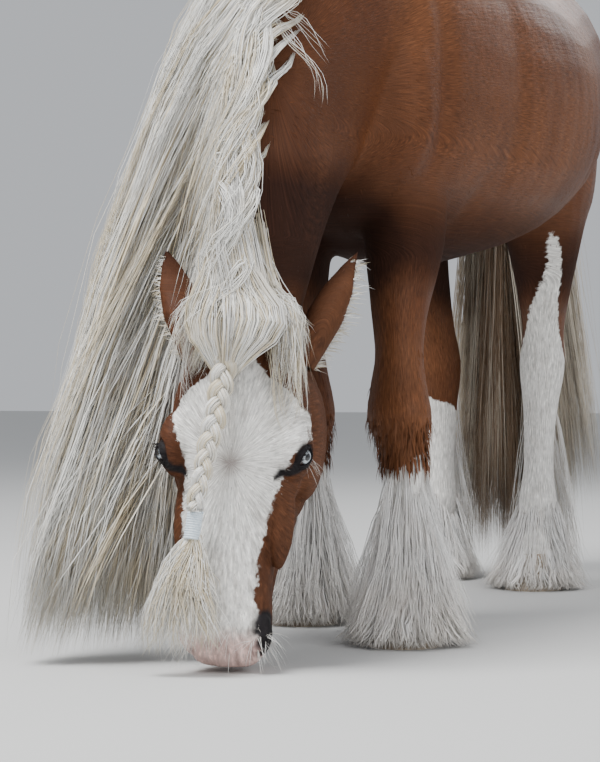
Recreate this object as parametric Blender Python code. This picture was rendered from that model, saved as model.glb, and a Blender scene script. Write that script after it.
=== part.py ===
"""A gypsy vanner horse grazing, as a still, life-size model. Metres, +Z up, the horse facing -Y."""

import math

import bmesh
import bpy
import numpy as np
from mathutils import Euler, Matrix, Vector
from mathutils.bvhtree import BVHTree

# Driving dimensions, in metres. The horse is about 14.1 hands, 1.45 m at the withers.
GAP, ROOM, HAIR_ROOM, LID_ROOM = 0.0003, 0.0015, 0.005, 0.008
WITHERS = 1.45
FORE_FEET = {"left": (0.156, -0.150), "right": (-0.140, 0.200)}
HIND_FEET = {"left": (0.142, 1.020), "right": (-0.150, 1.250)}
# The left foreleg leans in towards its top, this much at its shear height.
FORE_LEAN = {"left": -0.085, "right": 0.0}
HEAD_POLL = (-0.018, -0.640, 0.603)
HEAD_TURN = {"tilt": -7.0, "roll": 1.6, "yaw": 7.0}
HOOF_TOP = 0.083
EYE_CENTRE = (0.107, 0.034, -0.245)
EYE_RADIUS = 0.0215
EYE_FACING = (0.84, -0.53, -0.06)
EYE_SLANT = (0.30, 0.55, 0.78)
EAR_BASE, EAR_TIP, EAR_OPENING = (0.098, 0.128, -0.062), (0.166, 0.172, 0.124), (0.55, 0.82, -0.10)
BODY_VOXEL, HEAD_VOXEL = 0.008, 0.0045
BODY_TRIANGLES, HEAD_TRIANGLES = 3000, 1650
HAIR_TRIANGLES = {"head": 3300, "neck": 2900, "tail": 1150, "lower": 970}
FLOOR_CLEARANCE = 0.004
LOWER_LEG = {"foreleg": 0.430, "hindleg": 0.520}
# The plait in the head's frame: where it starts, its tie's two ends, and its middle line as x and z.
BRAID_TOP, TIE_TOP, TIE_BOTTOM = -0.112, -0.345, -0.388
BRAID_LINE = [(-0.008, -0.090), (-0.020, -0.185), (-0.029, -0.235), (-0.038, -0.290), (-0.048, -0.345)]
BRAID_TURNS, BRAID_STRAND, BRAID_RINGS = 2.2, 0.0105, 10
# Locks: how many, and half width and half thickness of each.
MANE_LAYERS, MANE_LOCKS, MANE_LOCK = 3, 8, (0.054, 0.010)
TAIL_LAYERS, TAIL_LOCKS, TAIL_LOCK = 2, 7, (0.044, 0.012)
KNOT_LOCKS, KNOT_LOCK = 7, (0.025, 0.013)
KNOT_FACING = [(0.8, 1), (0.3, 1), (-0.6, 1), (-1, 0.3), (-1, 0), (-1, 0)]
ROLL_RADIUS, SIDE_LOCK = 0.034, (0.016, 0.007)
# The locks beside the knot: where each starts, how far out it falls and how low; and the ways it faces.
SIDE_LOCKS = [(0.020, 0.070, -0.14), (0.032, 0.086, -0.10), (-0.034, -0.080, -0.14), (-0.042, -0.094, -0.09)]
SIDE_FACING = [(0, 0.8, 1), (2, 0.3, 1), (12, -0.3, 0.8), (12, -1, 0.2), (12, -1, 0.2)]
TASSEL_LOCKS, TASSEL_LOCK = 5, (0.015, 0.007)
# Feather tiers: root height, tip height, locks, reach from the leg's middle, half width, how far forward.
FEATHER_TIERS = [(0.200, 0.006, 12, 0.118, 0.038, 2.0), (0.320, 0.050, 10, 0.122, 0.036, 0.45),
                 (0.400, 0.160, 8, 0.106, 0.030, 0.30)]
FEATHER_THICK, FEATHER_LAYER = 0.008, 0.012
# Convex outlines in Y and Z, or in X and Z for the legs, that the thin cuts follow.
HEAD_REGION = [(-0.850, 0.784), (-0.340, 0.496), (-0.340, -0.050), (-0.850, -0.050)]
NECK_REGION = [(0.036, 1.550), (-0.250, 0.600), (-0.900, 0.600), (-0.900, 1.550)]
TAIL_REGION = [(1.352, 0.860), (1.352, 1.450), (1.750, 1.450), (1.750, 0.860)]
FORE_REGION = [(0.0005, 0.0835), (0.0005, 0.620), (0.300, 0.950), (0.500, 0.950), (0.500, 0.0835)]
HIND_REGION = [(0.0005, 0.0835), (0.0005, 0.840), (0.500, 0.900), (0.500, 0.0835)]
# The dock of the tail: y, z, radius.
DOCK = [(1.220, 1.270, 0.040), (1.330, 1.225, 0.043), (1.385, 1.150, 0.038), (1.405, 1.050, 0.030),
        (1.412, 0.940, 0.018)]
CHESTNUT, CREAM, WHITE = (0.33, 0.13, 0.055), (0.80, 0.72, 0.58), (0.86, 0.82, 0.76)
HORN, EYE_DARK, BAND = (0.55, 0.47, 0.37), (0.05, 0.035, 0.03), (0.72, 0.80, 0.84)
# Colour and roughness by the first word of a node's name.
COLOURS = {
    "head": (CHESTNUT, 0.7), "neck": (CHESTNUT, 0.7), "torso": (CHESTNUT, 0.7), "ear": (CHESTNUT, 0.7),
    "foreleg": (CHESTNUT, 0.7), "hindleg": (CHESTNUT, 0.7), "lower": (WHITE, 0.7), "tail": (CREAM, 0.6),
    "braid": (CREAM, 0.6), "hair": (BAND, 0.4), "hoof": (HORN, 0.5), "eye": (EYE_DARK, 0.1),
}

SIDES = (("left", 1), ("right", -1))

# Torso sections: y, top, bottom, half width, height of the widest place, squareness.
TORSO = [
    (-0.225, 1.040, 0.930, 0.060, 0.985, 2.0),
    (-0.190, 1.140, 0.840, 0.140, 0.985, 2.1),
    (-0.115, 1.270, 0.768, 0.188, 0.990, 2.1),
    (0.000, 1.395, 0.730, 0.222, 1.010, 2.1),
    (0.120, WITHERS, 0.708, 0.245, 1.020, 2.0),
    (0.250, 1.435, 0.704, 0.285, 1.030, 2.0),
    (0.400, 1.398, 0.715, 0.322, 1.040, 2.1),
    (0.550, 1.374, 0.735, 0.344, 1.050, 2.2),
    (0.700, 1.370, 0.757, 0.348, 1.060, 2.2),
    (0.830, 1.386, 0.790, 0.336, 1.080, 2.3),
    (0.950, 1.418, 0.845, 0.318, 1.110, 2.3),
    (1.060, 1.432, 0.895, 0.305, 1.130, 2.4),
    (1.160, 1.408, 0.925, 0.285, 1.130, 2.4),
    (1.250, 1.345, 0.955, 0.235, 1.130, 2.3),
    (1.315, 1.255, 1.010, 0.150, 1.130, 2.1),
    (1.340, 1.190, 1.070, 0.070, 1.130, 2.0),
]
# Neck, from the throat back into the shoulder:
# x, y, z, half width, dorsal half depth, ventral half depth, squareness.
NECK = [
    (-0.026, -0.535, 0.520, 0.067, 0.110, 0.110, 2.1),
    (-0.027, -0.520, 0.600, 0.069, 0.125, 0.125, 2.1),
    (-0.025, -0.485, 0.700, 0.079, 0.148, 0.142, 2.1),
    (-0.021, -0.420, 0.820, 0.090, 0.170, 0.162, 2.0),
    (-0.015, -0.330, 0.940, 0.103, 0.195, 0.185, 2.0),
    (-0.008, -0.220, 1.050, 0.128, 0.215, 0.215, 2.0),
    (-0.003, -0.095, 1.120, 0.162, 0.235, 0.262, 2.1),
    (0.000, 0.060, 1.140, 0.195, 0.255, 0.300, 2.1),
]
# Legs from the pastern up, standing square: x offset, y, z, half width, half depths in front and behind.
FORE_LEG = [
    (0.000, -0.032, 0.060, 0.050, 0.058, 0.050),
    (0.000, -0.028, 0.090, 0.049, 0.055, 0.050),
    (-0.002, -0.014, 0.125, 0.039, 0.043, 0.043),
    (-0.002, 0.002, 0.180, 0.044, 0.046, 0.054),
    (-0.003, 0.006, 0.235, 0.036, 0.038, 0.046),
    (-0.004, 0.007, 0.300, 0.036, 0.037, 0.046),
    (-0.006, 0.004, 0.360, 0.046, 0.043, 0.052),
    (-0.008, -0.004, 0.410, 0.061, 0.058, 0.057),
    (-0.008, -0.002, 0.455, 0.055, 0.053, 0.054),
    (-0.006, 0.004, 0.520, 0.045, 0.050, 0.056),
    (-0.004, 0.008, 0.600, 0.051, 0.062, 0.072),
    (0.002, 0.016, 0.690, 0.064, 0.082, 0.096),
    (0.006, 0.030, 0.780, 0.076, 0.105, 0.120),
    (0.006, 0.028, 0.880, 0.084, 0.140, 0.140),
    (-0.002, 0.010, 0.990, 0.086, 0.175, 0.160),
    (-0.020, 0.010, 1.110, 0.076, 0.165, 0.160),
    (-0.045, 0.030, 1.220, 0.055, 0.120, 0.130),
]
HIND_LEG = [
    (0.000, 0.012, 0.060, 0.050, 0.058, 0.050),
    (0.000, 0.016, 0.090, 0.049, 0.055, 0.050),
    (-0.002, 0.032, 0.130, 0.039, 0.043, 0.043),
    (-0.004, 0.052, 0.190, 0.045, 0.048, 0.056),
    (-0.006, 0.062, 0.250, 0.037, 0.041, 0.048),
    (-0.008, 0.072, 0.340, 0.035, 0.041, 0.048),
    (-0.008, 0.080, 0.430, 0.042, 0.048, 0.054),
    (-0.006, 0.082, 0.515, 0.053, 0.062, 0.068),
    (-0.002, 0.066, 0.590, 0.048, 0.056, 0.062),
    (0.008, 0.018, 0.680, 0.060, 0.080, 0.086),
    (0.018, -0.035, 0.770, 0.078, 0.112, 0.120),
    (0.022, -0.070, 0.860, 0.096, 0.150, 0.175),
    (0.018, -0.058, 0.960, 0.112, 0.185, 0.225),
    (0.008, -0.050, 1.060, 0.122, 0.200, 0.240),
    (-0.006, -0.055, 1.160, 0.118, 0.190, 0.215),
    (-0.030, -0.060, 1.260, 0.095, 0.150, 0.165),
]
# The point of the hock: a blade behind the joint, y, z, half width, half depth.
HOCK_POINT = [(0.104, 0.470, 0.020, 0.022), (0.134, 0.540, 0.023, 0.026), (0.150, 0.600, 0.021, 0.024),
              (0.128, 0.660, 0.013, 0.016), (0.090, 0.740, 0.010, 0.012)]
SHEAR_FORE, SHEAR_HIND = 1.050, 1.180
# Face, in the head's own frame (x left, y back, z up, poll at 0), from the muzzle up:
# y, z, half width, half depth in front, half depth behind, squareness.
FACE = [
    (0.076, -0.588, 0.036, 0.028, 0.026, 2.2),
    (0.074, -0.572, 0.056, 0.043, 0.034, 2.3),
    (0.076, -0.545, 0.067, 0.053, 0.041, 2.4),
    (0.078, -0.505, 0.068, 0.060, 0.046, 2.4),
    (0.080, -0.460, 0.066, 0.064, 0.048, 2.4),
    (0.081, -0.410, 0.069, 0.068, 0.056, 2.4),
    (0.085, -0.350, 0.079, 0.077, 0.062, 2.5),
    (0.090, -0.290, 0.102, 0.088, 0.072, 2.6),
    (0.095, -0.230, 0.117, 0.098, 0.082, 2.7),
    (0.100, -0.170, 0.117, 0.105, 0.088, 2.6),
    (0.105, -0.110, 0.104, 0.105, 0.088, 2.4),
    (0.112, -0.055, 0.084, 0.098, 0.082, 2.1),
    (0.118, -0.010, 0.062, 0.082, 0.070, 2.0),
    (0.124, 0.020, 0.036, 0.050, 0.050, 2.0),
]
JAW = [
    (0.112, -0.568, 0.034, 0.026, 0.020, 2.0),
    (0.118, -0.548, 0.048, 0.032, 0.026, 2.0),
    (0.120, -0.515, 0.056, 0.036, 0.032, 2.0),
    (0.122, -0.470, 0.060, 0.040, 0.034, 2.1),
    (0.130, -0.420, 0.067, 0.046, 0.042, 2.2),
    (0.146, -0.360, 0.083, 0.056, 0.052, 2.3),
    (0.164, -0.300, 0.101, 0.068, 0.062, 2.4),
    (0.178, -0.240, 0.113, 0.076, 0.072, 2.5),
    (0.184, -0.175, 0.117, 0.082, 0.076, 2.5),
    (0.182, -0.110, 0.108, 0.074, 0.066, 2.3),
    (0.172, -0.060, 0.082, 0.056, 0.050, 2.0),
]
# Rounded masses of the head, mirrored: centre, radii.
HEAD_MASSES = [
    ((0.096, 0.150, -0.205), (0.036, 0.085, 0.105)),
    ((0.097, 0.048, -0.229), (0.032, 0.050, 0.056)),
    ((0.078, 0.064, -0.345), (0.020, 0.030, 0.085)),
    ((0.052, 0.048, -0.538), (0.024, 0.028, 0.036)),
    ((0.028, 0.062, -0.568), (0.030, 0.032, 0.022)),
    ((0.022, 0.112, -0.562), (0.026, 0.026, 0.020)),
]


def spline(rows, count):
    """Rows at even steps along a smooth curve through the given rows, by their first three columns."""
    rows = np.array(rows, float)
    at = np.concatenate([[0], np.cumsum(np.linalg.norm(np.diff(rows[:, :3], axis=0), axis=1))])
    slopes = np.gradient(rows, at, axis=0)
    where = np.linspace(0, at[-1], count)
    i = np.clip(np.searchsorted(at, where, side="right") - 1, 0, len(at) - 2)
    span = (at[i + 1] - at[i])[:, None]
    f = (where - at[i])[:, None] / span
    return (
        (2 * f**3 - 3 * f**2 + 1) * rows[i]
        + (f**3 - 2 * f**2 + f) * span * slopes[i]
        + (3 * f**2 - 2 * f**3) * rows[i + 1]
        + (f**3 - f**2) * span * slopes[i + 1]
    )


def unit(vectors):
    """Vectors of length one."""
    vectors = np.asarray(vectors, float)
    return vectors / np.maximum(np.linalg.norm(vectors, axis=-1, keepdims=True), 1e-9)


def make(name, points, faces):
    """A mesh object of these points and faces, its faces pointing outwards."""
    mesh = bpy.data.meshes.new(name)
    mesh.from_pydata([tuple(map(float, p)) for p in points], [], [tuple(map(int, f)) for f in faces])
    obj = bpy.data.objects.new(name, mesh)
    bpy.context.scene.collection.objects.link(obj)
    form = bmesh.new()
    form.from_mesh(mesh)
    bmesh.ops.recalc_face_normals(form, faces=form.faces)
    form.to_mesh(mesh)
    form.free()
    return obj


def tube(name, rings):
    """A closed body from rings of points: quads between them and one flat face at each end."""
    rings = np.asarray(rings, float)
    count, sides = rings.shape[:2]
    faces = [tuple(reversed(range(sides))), tuple((count - 1) * sides + k for k in range(sides))]
    for i in range(count - 1):
        for k in range(sides):
            a, b = i * sides + k, i * sides + (k + 1) % sides
            faces.append((a, b, b + sides, a + sides))
    return make(name, rings.reshape(-1, 3), faces)


def loft(name, rows, rings, sides):
    """A tube whose rows are x, y, z, half width, half depth above, half depth below, squareness."""
    rows = spline(rows, rings)
    along = unit(np.gradient(rows[:, :3], axis=0))
    across = unit(np.array([1.0, 0, 0]) - along * along[:, :1])
    above = np.cross(across, along)
    angles = np.arange(sides) * math.tau / sides
    power = 2 / rows[:, 6:7]
    cos, sin = np.cos(angles)[None], np.sin(angles)[None]
    wide = rows[:, 3:4] * np.sign(cos) * np.abs(cos) ** power
    deep = np.where(sin > 0, rows[:, 4:5], rows[:, 5:6]) * np.sign(sin) * np.abs(sin) ** power
    offsets = wide[..., None] * across[:, None] + deep[..., None] * above[:, None]
    return tube(name, rows[:, None, :3] + offsets)


def ball(name, centre, radii, turn=(0, 0, 0), segments=16):
    """An ellipsoid, turned by angles in degrees."""
    form = bmesh.new()
    bmesh.ops.create_uvsphere(form, u_segments=segments, v_segments=segments // 2, radius=1.0)
    mesh = bpy.data.meshes.new(name)
    form.to_mesh(mesh)
    form.free()
    obj = bpy.data.objects.new(name, mesh)
    bpy.context.scene.collection.objects.link(obj)
    turned = Euler([math.radians(a) for a in turn]).to_matrix().to_4x4()
    mesh.transform(Matrix.Translation(centre) @ turned @ Matrix.Diagonal((*radii, 1)))
    return obj


def placed(obj, frame):
    """Moves the object's mesh into a frame, which may be a mirrored one."""
    obj.data.transform(frame)
    if frame.determinant() < 0:
        obj.data.flip_normals()
    return obj


def evaluated(obj):
    """Replaces the object's mesh by what its modifiers make of it."""
    graph = bpy.context.evaluated_depsgraph_get()
    mesh = bpy.data.meshes.new_from_object(obj.evaluated_get(graph))
    obj.modifiers.clear()
    obj.data = mesh
    return obj


def fuse(name, parts, voxel, rounds):
    """One smooth skin round all the parts."""
    points, faces = [], []
    for part in parts:
        start = len(points)
        points += [tuple(part.matrix_world @ v.co) for v in part.data.vertices]
        faces += [[start + i for i in face.vertices] for face in part.data.polygons]
        bpy.data.objects.remove(part)
    mesh = bpy.data.meshes.new(name)
    mesh.from_pydata(points, [], faces)
    whole = bpy.data.objects.new(name, mesh)
    bpy.context.scene.collection.objects.link(whole)
    remesh = whole.modifiers.new("remesh", "REMESH")
    remesh.mode = "VOXEL"
    remesh.voxel_size = voxel
    smooth = whole.modifiers.new("smooth", "SMOOTH")
    smooth.factor = 0.5
    smooth.iterations = rounds
    return evaluated(whole)


def head_matrix():
    """Carries the head's own frame into the horse's."""
    turn = Euler([math.radians(HEAD_TURN[k]) for k in ("tilt", "roll", "yaw")], "XYZ")
    return Matrix.Translation(HEAD_POLL) @ turn.to_matrix().to_4x4()


def leg_rows(rows, foot, shear_top, side, lean=0.0):
    """A leg's stations, moved to its foot and sheared so that its top stays under the body."""
    square = {1.050: 0.0, 1.180: 1.130}[shear_top]
    found = []
    for x, y, z, wide, front, back in rows:
        share = max(0.0, 1 - z / shear_top)
        place = (foot[0] + side * x + lean * z / shear_top, square + y + (foot[1] - square) * share, z)
        found.append((*place, wide, front, back, 2.1))
    return found


def body_parts():
    """The overlapping forms that make up the horse's flesh."""
    torso = [(0, y, widest, wide, top - widest, widest - low, power)
             for y, top, low, wide, widest, power in TORSO]
    parts = [loft("torso_form", torso, 60, 32), loft("neck_form", NECK, 30, 28)]
    for side_name, side in SIDES:
        fore = leg_rows(FORE_LEG, FORE_FEET[side_name], SHEAR_FORE, side, FORE_LEAN[side_name])
        hind = leg_rows(HIND_LEG, HIND_FEET[side_name], SHEAR_HIND, side)
        point = [(0, y, z, wide, deep, deep) for y, z, wide, deep in HOCK_POINT]
        point = leg_rows(point, HIND_FEET[side_name], SHEAR_HIND, side)
        parts += [loft("leg_form", fore, 60, 20), loft("leg_form", hind, 60, 20)]
        parts.append(loft("hock_form", point, 16, 12))
    return parts


def head_parts():
    """The overlapping forms of the head."""
    face = [(0, y, z, wide, front, back, power) for y, z, wide, front, back, power in FACE]
    jaw = [(0, y, z, wide, front, back, power) for y, z, wide, front, back, power in JAW]
    parts = [loft("face_form", face, 48, 32), loft("jaw_form", jaw, 40, 24)]
    for centre, radii in HEAD_MASSES:
        for _, side in SIDES:
            parts.append(ball("head_mass", (side * centre[0], *centre[1:]), radii))
    place = head_matrix()
    for part in parts:
        part.data.transform(place)
    return parts


def cut(base, tool, operation="DIFFERENCE", keep_tool=False):
    """The base with the tool's body cut away from it, or kept only inside it."""
    change = base.modifiers.new("cut", "BOOLEAN")
    change.operation, change.solver, change.object = operation, "MANIFOLD", tool
    evaluated(base)
    if not keep_tool:
        bpy.data.objects.remove(tool)
    return base


def join(base, parts):
    """The base and the parts as one closed body, by one union on their collection."""
    group = bpy.data.collections.new("pieces")
    for part in parts:
        group.objects.link(part)
    change = base.modifiers.new("join", "BOOLEAN")
    change.operation, change.solver = "UNION", "MANIFOLD"
    change.operand_type, change.collection = "COLLECTION", group
    evaluated(base)
    for part in parts:
        bpy.data.objects.remove(part)
    bpy.data.collections.remove(group)
    return base


def copy(obj, name, grow=0.0):
    """A copy of the object, its surface moved outwards a little."""
    twin = bpy.data.objects.new(name, obj.data.copy())
    bpy.context.scene.collection.objects.link(twin)
    for vertex, normal in zip(twin.data.vertices, [v.normal.copy() for v in obj.data.vertices]):
        vertex.co += normal * grow
    return twin


def largest(obj):
    """Keeps the object's largest closed surface."""
    form = bmesh.new()
    form.from_mesh(obj.data)
    bmesh.ops.triangulate(form, faces=form.faces)
    left, pieces = set(form.faces), []
    while left:
        found, edge = set(), [left.pop()]
        while edge:
            face = edge.pop()
            found.add(face)
            for near in (other for e in face.edges for other in e.link_faces):
                if near in left:
                    left.discard(near)
                    edge.append(near)
        pieces.append(found)
    best = max(pieces, key=lambda piece: sum(f.calc_area() for f in piece))
    bmesh.ops.delete(form, geom=[f for f in form.faces if f not in best], context="FACES")
    form.to_mesh(obj.data)
    form.free()
    return obj


def thinned(obj, triangles):
    """The object with its triangles merged down to about this many."""
    change = obj.modifiers.new("thin", "DECIMATE")
    obj.data.calc_loop_triangles()
    change.ratio = triangles / len(obj.data.loop_triangles)
    return evaluated(obj)


def sound(obj):
    """Whether every edge of the object has two faces and no faces cross."""
    form = bmesh.new()
    form.from_mesh(obj.data)
    bmesh.ops.triangulate(form, faces=form.faces)
    corners = [{v.index for v in face.verts} for face in form.faces]
    tree = BVHTree.FromBMesh(form)
    closed = all(len(edge.link_faces) == 2 for edge in form.edges)
    form.free()
    return closed and all(corners[a] & corners[b] for a, b in tree.overlap(tree))


def thinned_closed(obj, triangles):
    """The object merged down to about this many triangles, or to more where that would open it."""
    for share in (1.0, 1.04, 1.08, 1.13, 1.18, 1.25, 1.33, 1.45, 1.6):
        trial = thinned(copy(obj, obj.name), round(triangles * share))
        if sound(trial):
            bpy.data.objects.remove(obj)
            return trial
        bpy.data.objects.remove(trial)
    return obj


def slab(outline, low, high, lean=None):
    """A body from a convex outline in Y and Z drawn out along X; with a lean, in X and Z along Y, sheared."""
    if lean is None:
        return tube("region", [[(x, y, z) for y, z in outline] for x in (low, high)])
    return tube("region", [[(x, y + lean * (SHEAR_FORE - z), z) for x, z in outline] for y in (low, high)])


def box(frame, low, high):
    """A box between two corners of a frame."""
    ring = [(low[0], low[1]), (high[0], low[1]), (high[0], high[1]), (low[0], high[1])]
    body = tube("region", [[(x, y, z) for x, y in ring] for z in (low[2], high[2])])
    return placed(body, frame)


def grown(outline, amount):
    """A convex outline with every side moved outwards by the amount."""
    points = np.array(outline, float)
    centre, moved = points.mean(0), []
    for a, b, c in zip(np.roll(points, 1, 0), points, np.roll(points, -1, 0)):
        normals = []
        for p, q in ((a, b), (b, c)):
            n = unit(np.array([(q - p)[1], -(q - p)[0]]))
            normals.append(n if n @ (p - centre) > 0 else -n)
        moved.append(b + amount * (normals[0] + normals[1]) / (1 + normals[0] @ normals[1]))
    return [tuple(p) for p in moved]


def part_off(whole, name, region):
    """Parts the whole by a thin cut round a region: returns the piece inside and keeps the rest."""
    piece = copy(whole, name)
    cut(piece, region(-GAP / 2), "INTERSECT")
    cut(whole, region(GAP / 2))
    return largest(piece)


def outline_region(outline, low, high, lean=None):
    """A region that part_off can widen or narrow."""
    return lambda amount: slab(grown(outline, amount), low - amount, high + amount, lean)


def lock(path, width, thick, facing, rings=7, root=0.5, twist=0.0):
    """A flat, tapered lock along a path of points, one flat side facing one way or a way for each point."""
    line = spline(np.array(path, float), rings)
    along = unit(np.gradient(line, axis=0))
    share = np.linspace(0, 1, rings)[:, None]
    ways = np.atleast_2d(np.array(facing, float))
    at = share[:, 0] * (len(ways) - 1)
    ways = np.stack([np.interp(at, range(len(ways)), column) for column in ways.T], axis=1)
    face = unit(ways - along * (along * ways).sum(1, keepdims=True))
    side = np.cross(along, face)
    turn = math.radians(twist) * share
    side, face = side * np.cos(turn) + face * np.sin(turn), face * np.cos(turn) - side * np.sin(turn)
    swell = np.minimum(1, root + (1 - root) * share / 0.45) * (1 - 0.94 * share**2.6)
    wide, deep = side * width * swell, face * thick * np.minimum(1.0, swell * 1.2)
    corners = np.stack([line - wide, line + deep, line + wide, line - deep], axis=1).reshape(-1, 3)
    last = (rings - 1) * 4
    faces = [(0, 1, 2), (0, 2, 3), (last, last + 2, last + 1), (last, last + 3, last + 2)]
    for i in range(rings - 1):
        for k in range(4):
            a, b = i * 4 + k, i * 4 + (k + 1) % 4
            if k % 2:
                faces += [(a, b, a + 4), (b, b + 4, a + 4)]
            else:
                faces += [(a, b, b + 4), (a, b + 4, a + 4)]
    return make("lock", corners, faces)


def clear_of(points, tree, distance, start=1):
    """Points of a path moved out until they keep this distance from a surface, from the given one on."""
    moved = [Vector(p) for p in points]
    for i in range(start, len(moved)):
        place, normal, _, _ = tree.find_nearest(moved[i])
        height = (moved[i] - place).dot(normal)
        if height < distance and (moved[i] - place).length < 0.35:
            moved[i] = moved[i] + normal * (distance - height)
    return moved


def coat(name, colour, roughness):
    """One principled surface of a single colour."""
    material = bpy.data.materials.new(name)
    material.use_nodes = True
    shader = material.node_tree.nodes["Principled BSDF"]
    shader.inputs["Base Color"].default_value = (*colour, 1)
    shader.inputs["Roughness"].default_value = roughness
    return material


def leg_at(rows, z):
    """A leg's centre and half width, half depths at a height."""
    table = np.array(rows)
    return [float(np.interp(z, table[:, 2], table[:, k])) for k in (0, 1, 3, 4, 5)]


def feather(rows, foot, rng):
    """The long hair of a lower leg: tiers of locks from the cannon down, every second one on top."""
    locks = []
    for root_z, tip_z, count, reach, width, front in FEATHER_TIERS:
        x, y, wide, ahead, behind = leg_at(rows, root_z)
        for k in range(count):
            angle = math.tau * (k + 0.5) / count + rng.uniform(-0.06, 0.06)
            out = Vector((math.cos(angle), math.sin(angle), 0))
            if out.y < -front:
                continue
            skin = 1 / math.hypot(out.x / wide, out.y / (behind if out.y > 0 else ahead))
            layer = out * FEATHER_LAYER * (k % 2)
            tip = Vector((foot[0], foot[1], tip_z + rng.uniform(0.0, 0.02))) + out * reach + layer
            root = Vector((x, y, root_z - 0.6 * layer.length)) + out * (skin - 0.016)
            first = Vector((x, y, root_z - 0.028)) + out * (skin + 0.006) + layer
            bulge = root.lerp(tip, 0.52) + out * 0.016 + layer * 0.5 + Vector((0, 0, 0.012))
            half = width * rng.uniform(0.9, 1.15)
            locks.append(lock([root, first, bulge, tip], half, FEATHER_THICK, out, 5, 0.30))
    return locks


def hoof(name, x, y, shift):
    """A broad hoof, flat on the floor and under the pastern."""
    rings = []
    for z, wide, deep, ahead in ((0.0, 0.066, 0.074, shift), (0.045, 0.060, 0.068, shift / 2),
                                 (HOOF_TOP - GAP / 2, 0.052, 0.060, 0.0)):
        rings.append([(x + wide * math.cos(a), y - ahead + deep * math.sin(a), z)
                      for a in (math.tau * k / 16 for k in range(16))])
    return tube(name, rings)


def ear_frame(side):
    """The frame of one ear in the head's: width along X, the cup open towards -Y, the tip along Z."""
    axis = (Vector(EAR_TIP) - Vector(EAR_BASE)).normalized()
    opening = Vector(EAR_OPENING)
    opening = (opening - axis * opening.dot(axis)).normalized()
    frame = Matrix((opening.cross(axis), -opening, axis)).transposed().to_4x4()
    return Matrix.Diagonal((side, 1, 1, 1)) @ Matrix.Translation(EAR_BASE) @ frame


def ear_shell(side, grow=0.0):
    """The outside of one ear, its root sunk in the skull, or a wider room for it."""
    long = (Vector(EAR_TIP) - Vector(EAR_BASE)).length
    rows = [(0, 0, -0.030, 0.022, 0.020, 0.020), (0, 0, 0.012, 0.027, 0.022, 0.023),
            (0, 0.002, long * 0.35, 0.037, 0.020, 0.024), (0, 0.001, long * 0.62, 0.033, 0.016, 0.019),
            (0, -0.003, long * 0.85, 0.019, 0.009, 0.012), (0, -0.006, long + grow, 0.003, 0.003, 0.003)]
    rows = [(x, y, z, *(size + grow for size in sizes), 2) for x, y, z, *sizes in rows]
    return placed(loft("ear", rows, 10, 12), ear_frame(side))


def ear(side):
    """One cupped ear."""
    long = (Vector(EAR_TIP) - Vector(EAR_BASE)).length
    hollow = [(0, -0.024, 0.034, 0.011, 0.012, 0.010, 2), (0, -0.016, long * 0.28, 0.027, 0.020, 0.025, 2),
              (0, -0.014, long * 0.5, 0.029, 0.020, 0.023, 2), (0, -0.014, long * 0.75, 0.020, 0.014, 0.014, 2),
              (0, -0.015, long * 0.90, 0.009, 0.008, 0.007, 2)]
    return cut(ear_shell(side), placed(loft("hollow", hollow, 8, 10), ear_frame(side)))


def lids(side):
    """The two lids of one eye, in the head's frame, as arcs over the ball."""
    centre, facing = Vector(EYE_CENTRE), Vector(EYE_FACING).normalized()
    slant = Vector(EYE_SLANT)
    slant = (slant - facing * slant.dot(facing)).normalized()
    across = facing.cross(slant).normalized()
    across = across if across.y > 0 or across.z > 0 else -across
    made = []
    for lift, wide in ((0.50, 0.0062), (-0.42, 0.0052)):
        rings = []
        for step in np.linspace(-1, 1, 9):
            way = (facing + slant * 0.80 * step + across * lift * (1 - step * step)).normalized()
            middle = centre + way * (EYE_RADIUS + 0.0022)
            thick = 0.0034 * (1.15 - 0.5 * step * step)
            ring = []
            for angle in (math.tau * n / 6 for n in range(6)):
                ring.append(middle + across * wide * math.cos(angle) + way * thick * math.sin(angle))
            rings.append([(side * p.x, p.y, p.z) for p in ring])
        made.append(tube("lid", rings))
    return made


def eye_ball(name, side, grow=0.0):
    """One eye, in the head's frame, or a wider room for it."""
    return ball(name, (side * EYE_CENTRE[0], *EYE_CENTRE[1:]), (EYE_RADIUS + grow,) * 3, segments=12)


def eye_opening(side):
    """The body cut out of the head in front of one eye."""
    centre, facing = Vector(EYE_CENTRE), Vector(EYE_FACING).normalized()
    slant = Vector(EYE_SLANT)
    slant = (slant - facing * slant.dot(facing)).normalized()
    across = facing.cross(slant).normalized()
    rings = []
    for out, size in ((0.006, 0.85), (0.040, 1.05)):
        rings.append([])
        for angle in (math.tau * n / 12 for n in range(12)):
            ring = slant * 0.0165 * math.cos(angle) + across * 0.0115 * math.sin(angle)
            p = centre + facing * out + ring * size
            rings[-1].append((side * p.x, p.y, p.z))
    return tube("opening", rings)


def head_details(head, place):
    """Eye openings and lids, sockets, nostrils and the line of the mouth."""
    for _, side in SIDES:
        tool = eye_opening(side)
        tool.data.transform(place)
        cut(head, tool)
        rims = lids(side)
        for rim in rims:
            rim.data.transform(place)
        join(head, rims)
        nostril = ball("nostril", (side * 0.060, 0.030, -0.552), (0.016, 0.017, 0.021), segments=12)
        cut(head, placed(nostril, place))
    line = [(0.0965, -0.62), (0.0995, -0.62), (0.1050, -0.55), (0.1115, -0.508), (0.1020, -0.55)]
    slit = tube("slit", [[(x, y, z) for y, z in line] for x in (-0.1, 0.1)])
    slit.data.transform(place)
    return cut(head, slit)


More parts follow.
